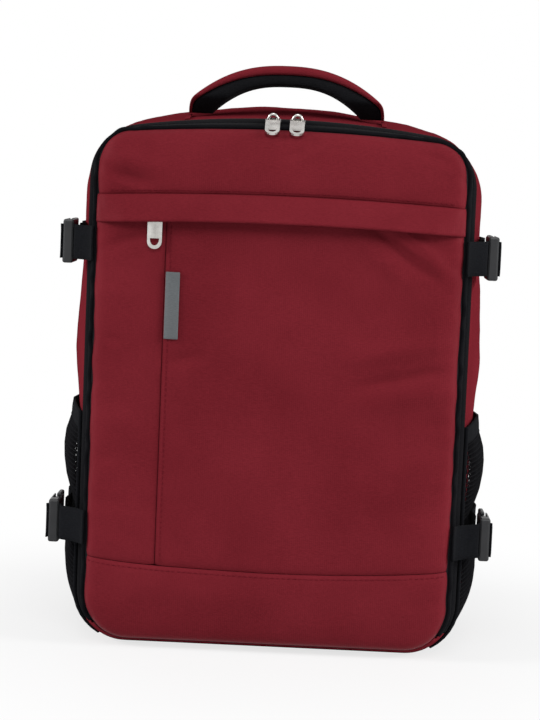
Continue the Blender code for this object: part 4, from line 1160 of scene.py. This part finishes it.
def paddedStrap(side, sign):
    # the pad, and a band of webbing sewn down its middle
    topX, topZ, endZ, spread = (shoulder[k] for k in ("topX", "topZ", "endZ", "spread"))
    drop, endX = topZ - endZ, topX + spread
    line = [(topX, topZ), (topX, topZ - shoulder["straight"])]
    line += [(topX + spread * out, topZ - drop * down) for out, down in shoulder["bends"]]
    line += [(endX, endZ + shoulder["straight"]), (endX, endZ)]
    path = smoothPath([(sign * x, z) for x, z in line], shoulder["steps"])
    count = shoulder["points"]
    rings = []
    for i, (x, z) in enumerate(path):
        t = i / (len(path) - 1)
        late = max(0.0, (t - shoulder["narrowFrom"]) / (1 - shoulder["narrowFrom"]))
        wide = shoulder["width"] * (1 - shoulder["narrow"] * late ** 2)
        across, through = roundedSection(wide, shoulder["pad"], count, shoulder["power"])
        fromSewn = np.abs(across) - shoulder["width"] * shoulder["sewnAt"]
        sewn = shoulder["sewnDepth"] * np.exp(-(fromSewn / shoulder["sewnWide"]) ** 2)  # a line by each edge
        y = shoulder["y"] + through - np.sign(through) * sewn
        rings.append(np.stack([x + across, y, np.full(count, z)], 1))
    ringPiece(f"shoulderPad_{side}", rings, finishes["padCloth"], "bag", [f"shoulder_strap_{side}"],
              "black_cloth")
    keep = path[2:-2]
    v = np.linspace(-1, 1, shoulder["columns"])[None, :]
    x = keep[:, :1] + shoulder["bandHalf"] * v
    y = shoulder["y"] + shoulder["pad"] / 2 + shoulder["bandOver"] + 0 * x
    band = gridPiece(f"shoulderBand_{side}", np.stack([x, y, keep[:, 1:2] + 0 * v], -1), finishes["webbing"],
                     "bag", outward=(0, 1, 0), slot="black_cloth")
    solid(band, shoulder["band"], 0.0)


def strapWebbing(side, sign):
    # from the adjuster down to the tab at the bottom
    endX, tabX = shoulder["topX"] + shoulder["spread"], shoulder["anchorX"]
    gap, (upper, lower) = shoulder["adjusterGap"], shoulder["webStraight"]
    top = shoulder["endZ"] - gap - shoulder["adjusterTall"] - gap
    web = [(endX, top), (endX, top - upper), (tabX, shoulder["anchorTop"] + lower),
           (tabX, shoulder["anchorTop"] + shoulder["webEnd"])]
    path = smoothPath([(sign * x, z) for x, z in web], shoulder["webSteps"])
    v = np.linspace(-1, 1, shoulder["columns"])[None, :]
    x = path[:, :1] + strap["width"] / 2 * v
    y = shoulder["y"] + shoulder["selvedge"] * np.abs(v) ** 6 + 0 * x
    ribbon = gridPiece(f"strapWebbing_{side}", np.stack([x, y, path[:, 1:2] + 0 * v], -1), finishes["webbing"],
                       "bag", outward=(0, 1, 0), replaced=[f"strap_webbing_{side}"], slot="black_cloth")
    solid(ribbon, strap["web"], 0.0)


def sewnBlock(name, node):
    # a block with rounded edges in place of a solid, swept along x
    low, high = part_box(node)
    middle, size = (low + high) / 2, high - low
    count = block["points"]
    rings = []
    for t in np.linspace(-1, 1, block["columns"]):
        ease = (1 - abs(t) ** block["endPower"]) ** 0.5
        tall = size[2] * (block["endTall"] + (1 - block["endTall"]) * ease)
        thick = size[1] * (block["endThick"] + (1 - block["endThick"]) * ease)
        across, through = roundedSection(tall, thick, count, block["power"])
        rings.append(np.stack([np.full(count, middle[0] + t * size[0] / 2), middle[1] + through,
                               middle[2] + across], 1))
    ringPiece(name, rings, finishes["padCloth"], "bag", [node], "black_cloth")


for side, sign in sides:
    paddedStrap(side, sign)
    strapWebbing(side, sign)
    sewnBlock(f"strapTab_{side}", f"strap_anchor_{side}")
sewnBlock("strapYoke", "strap_yoke")
print("shoulder straps sewn")

# moulded and metal pieces keep their solids, with these finishes
hardware = {"plastic": ("buckle_housing", "buckle_plug", "latch_arm", "strap_adjuster"),
            "nickel": ("zip_slider", "zip_pull", "pocket_zip_slider", "pocket_zip_pull"),
            "board": ("back_board", "base_board")}
for finish, starts in hardware.items():
    for name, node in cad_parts.items():
        if name.startswith(starts):
            node.data.materials.clear()
            node.data.materials.append(finishes[finish])
print("hardware finished")
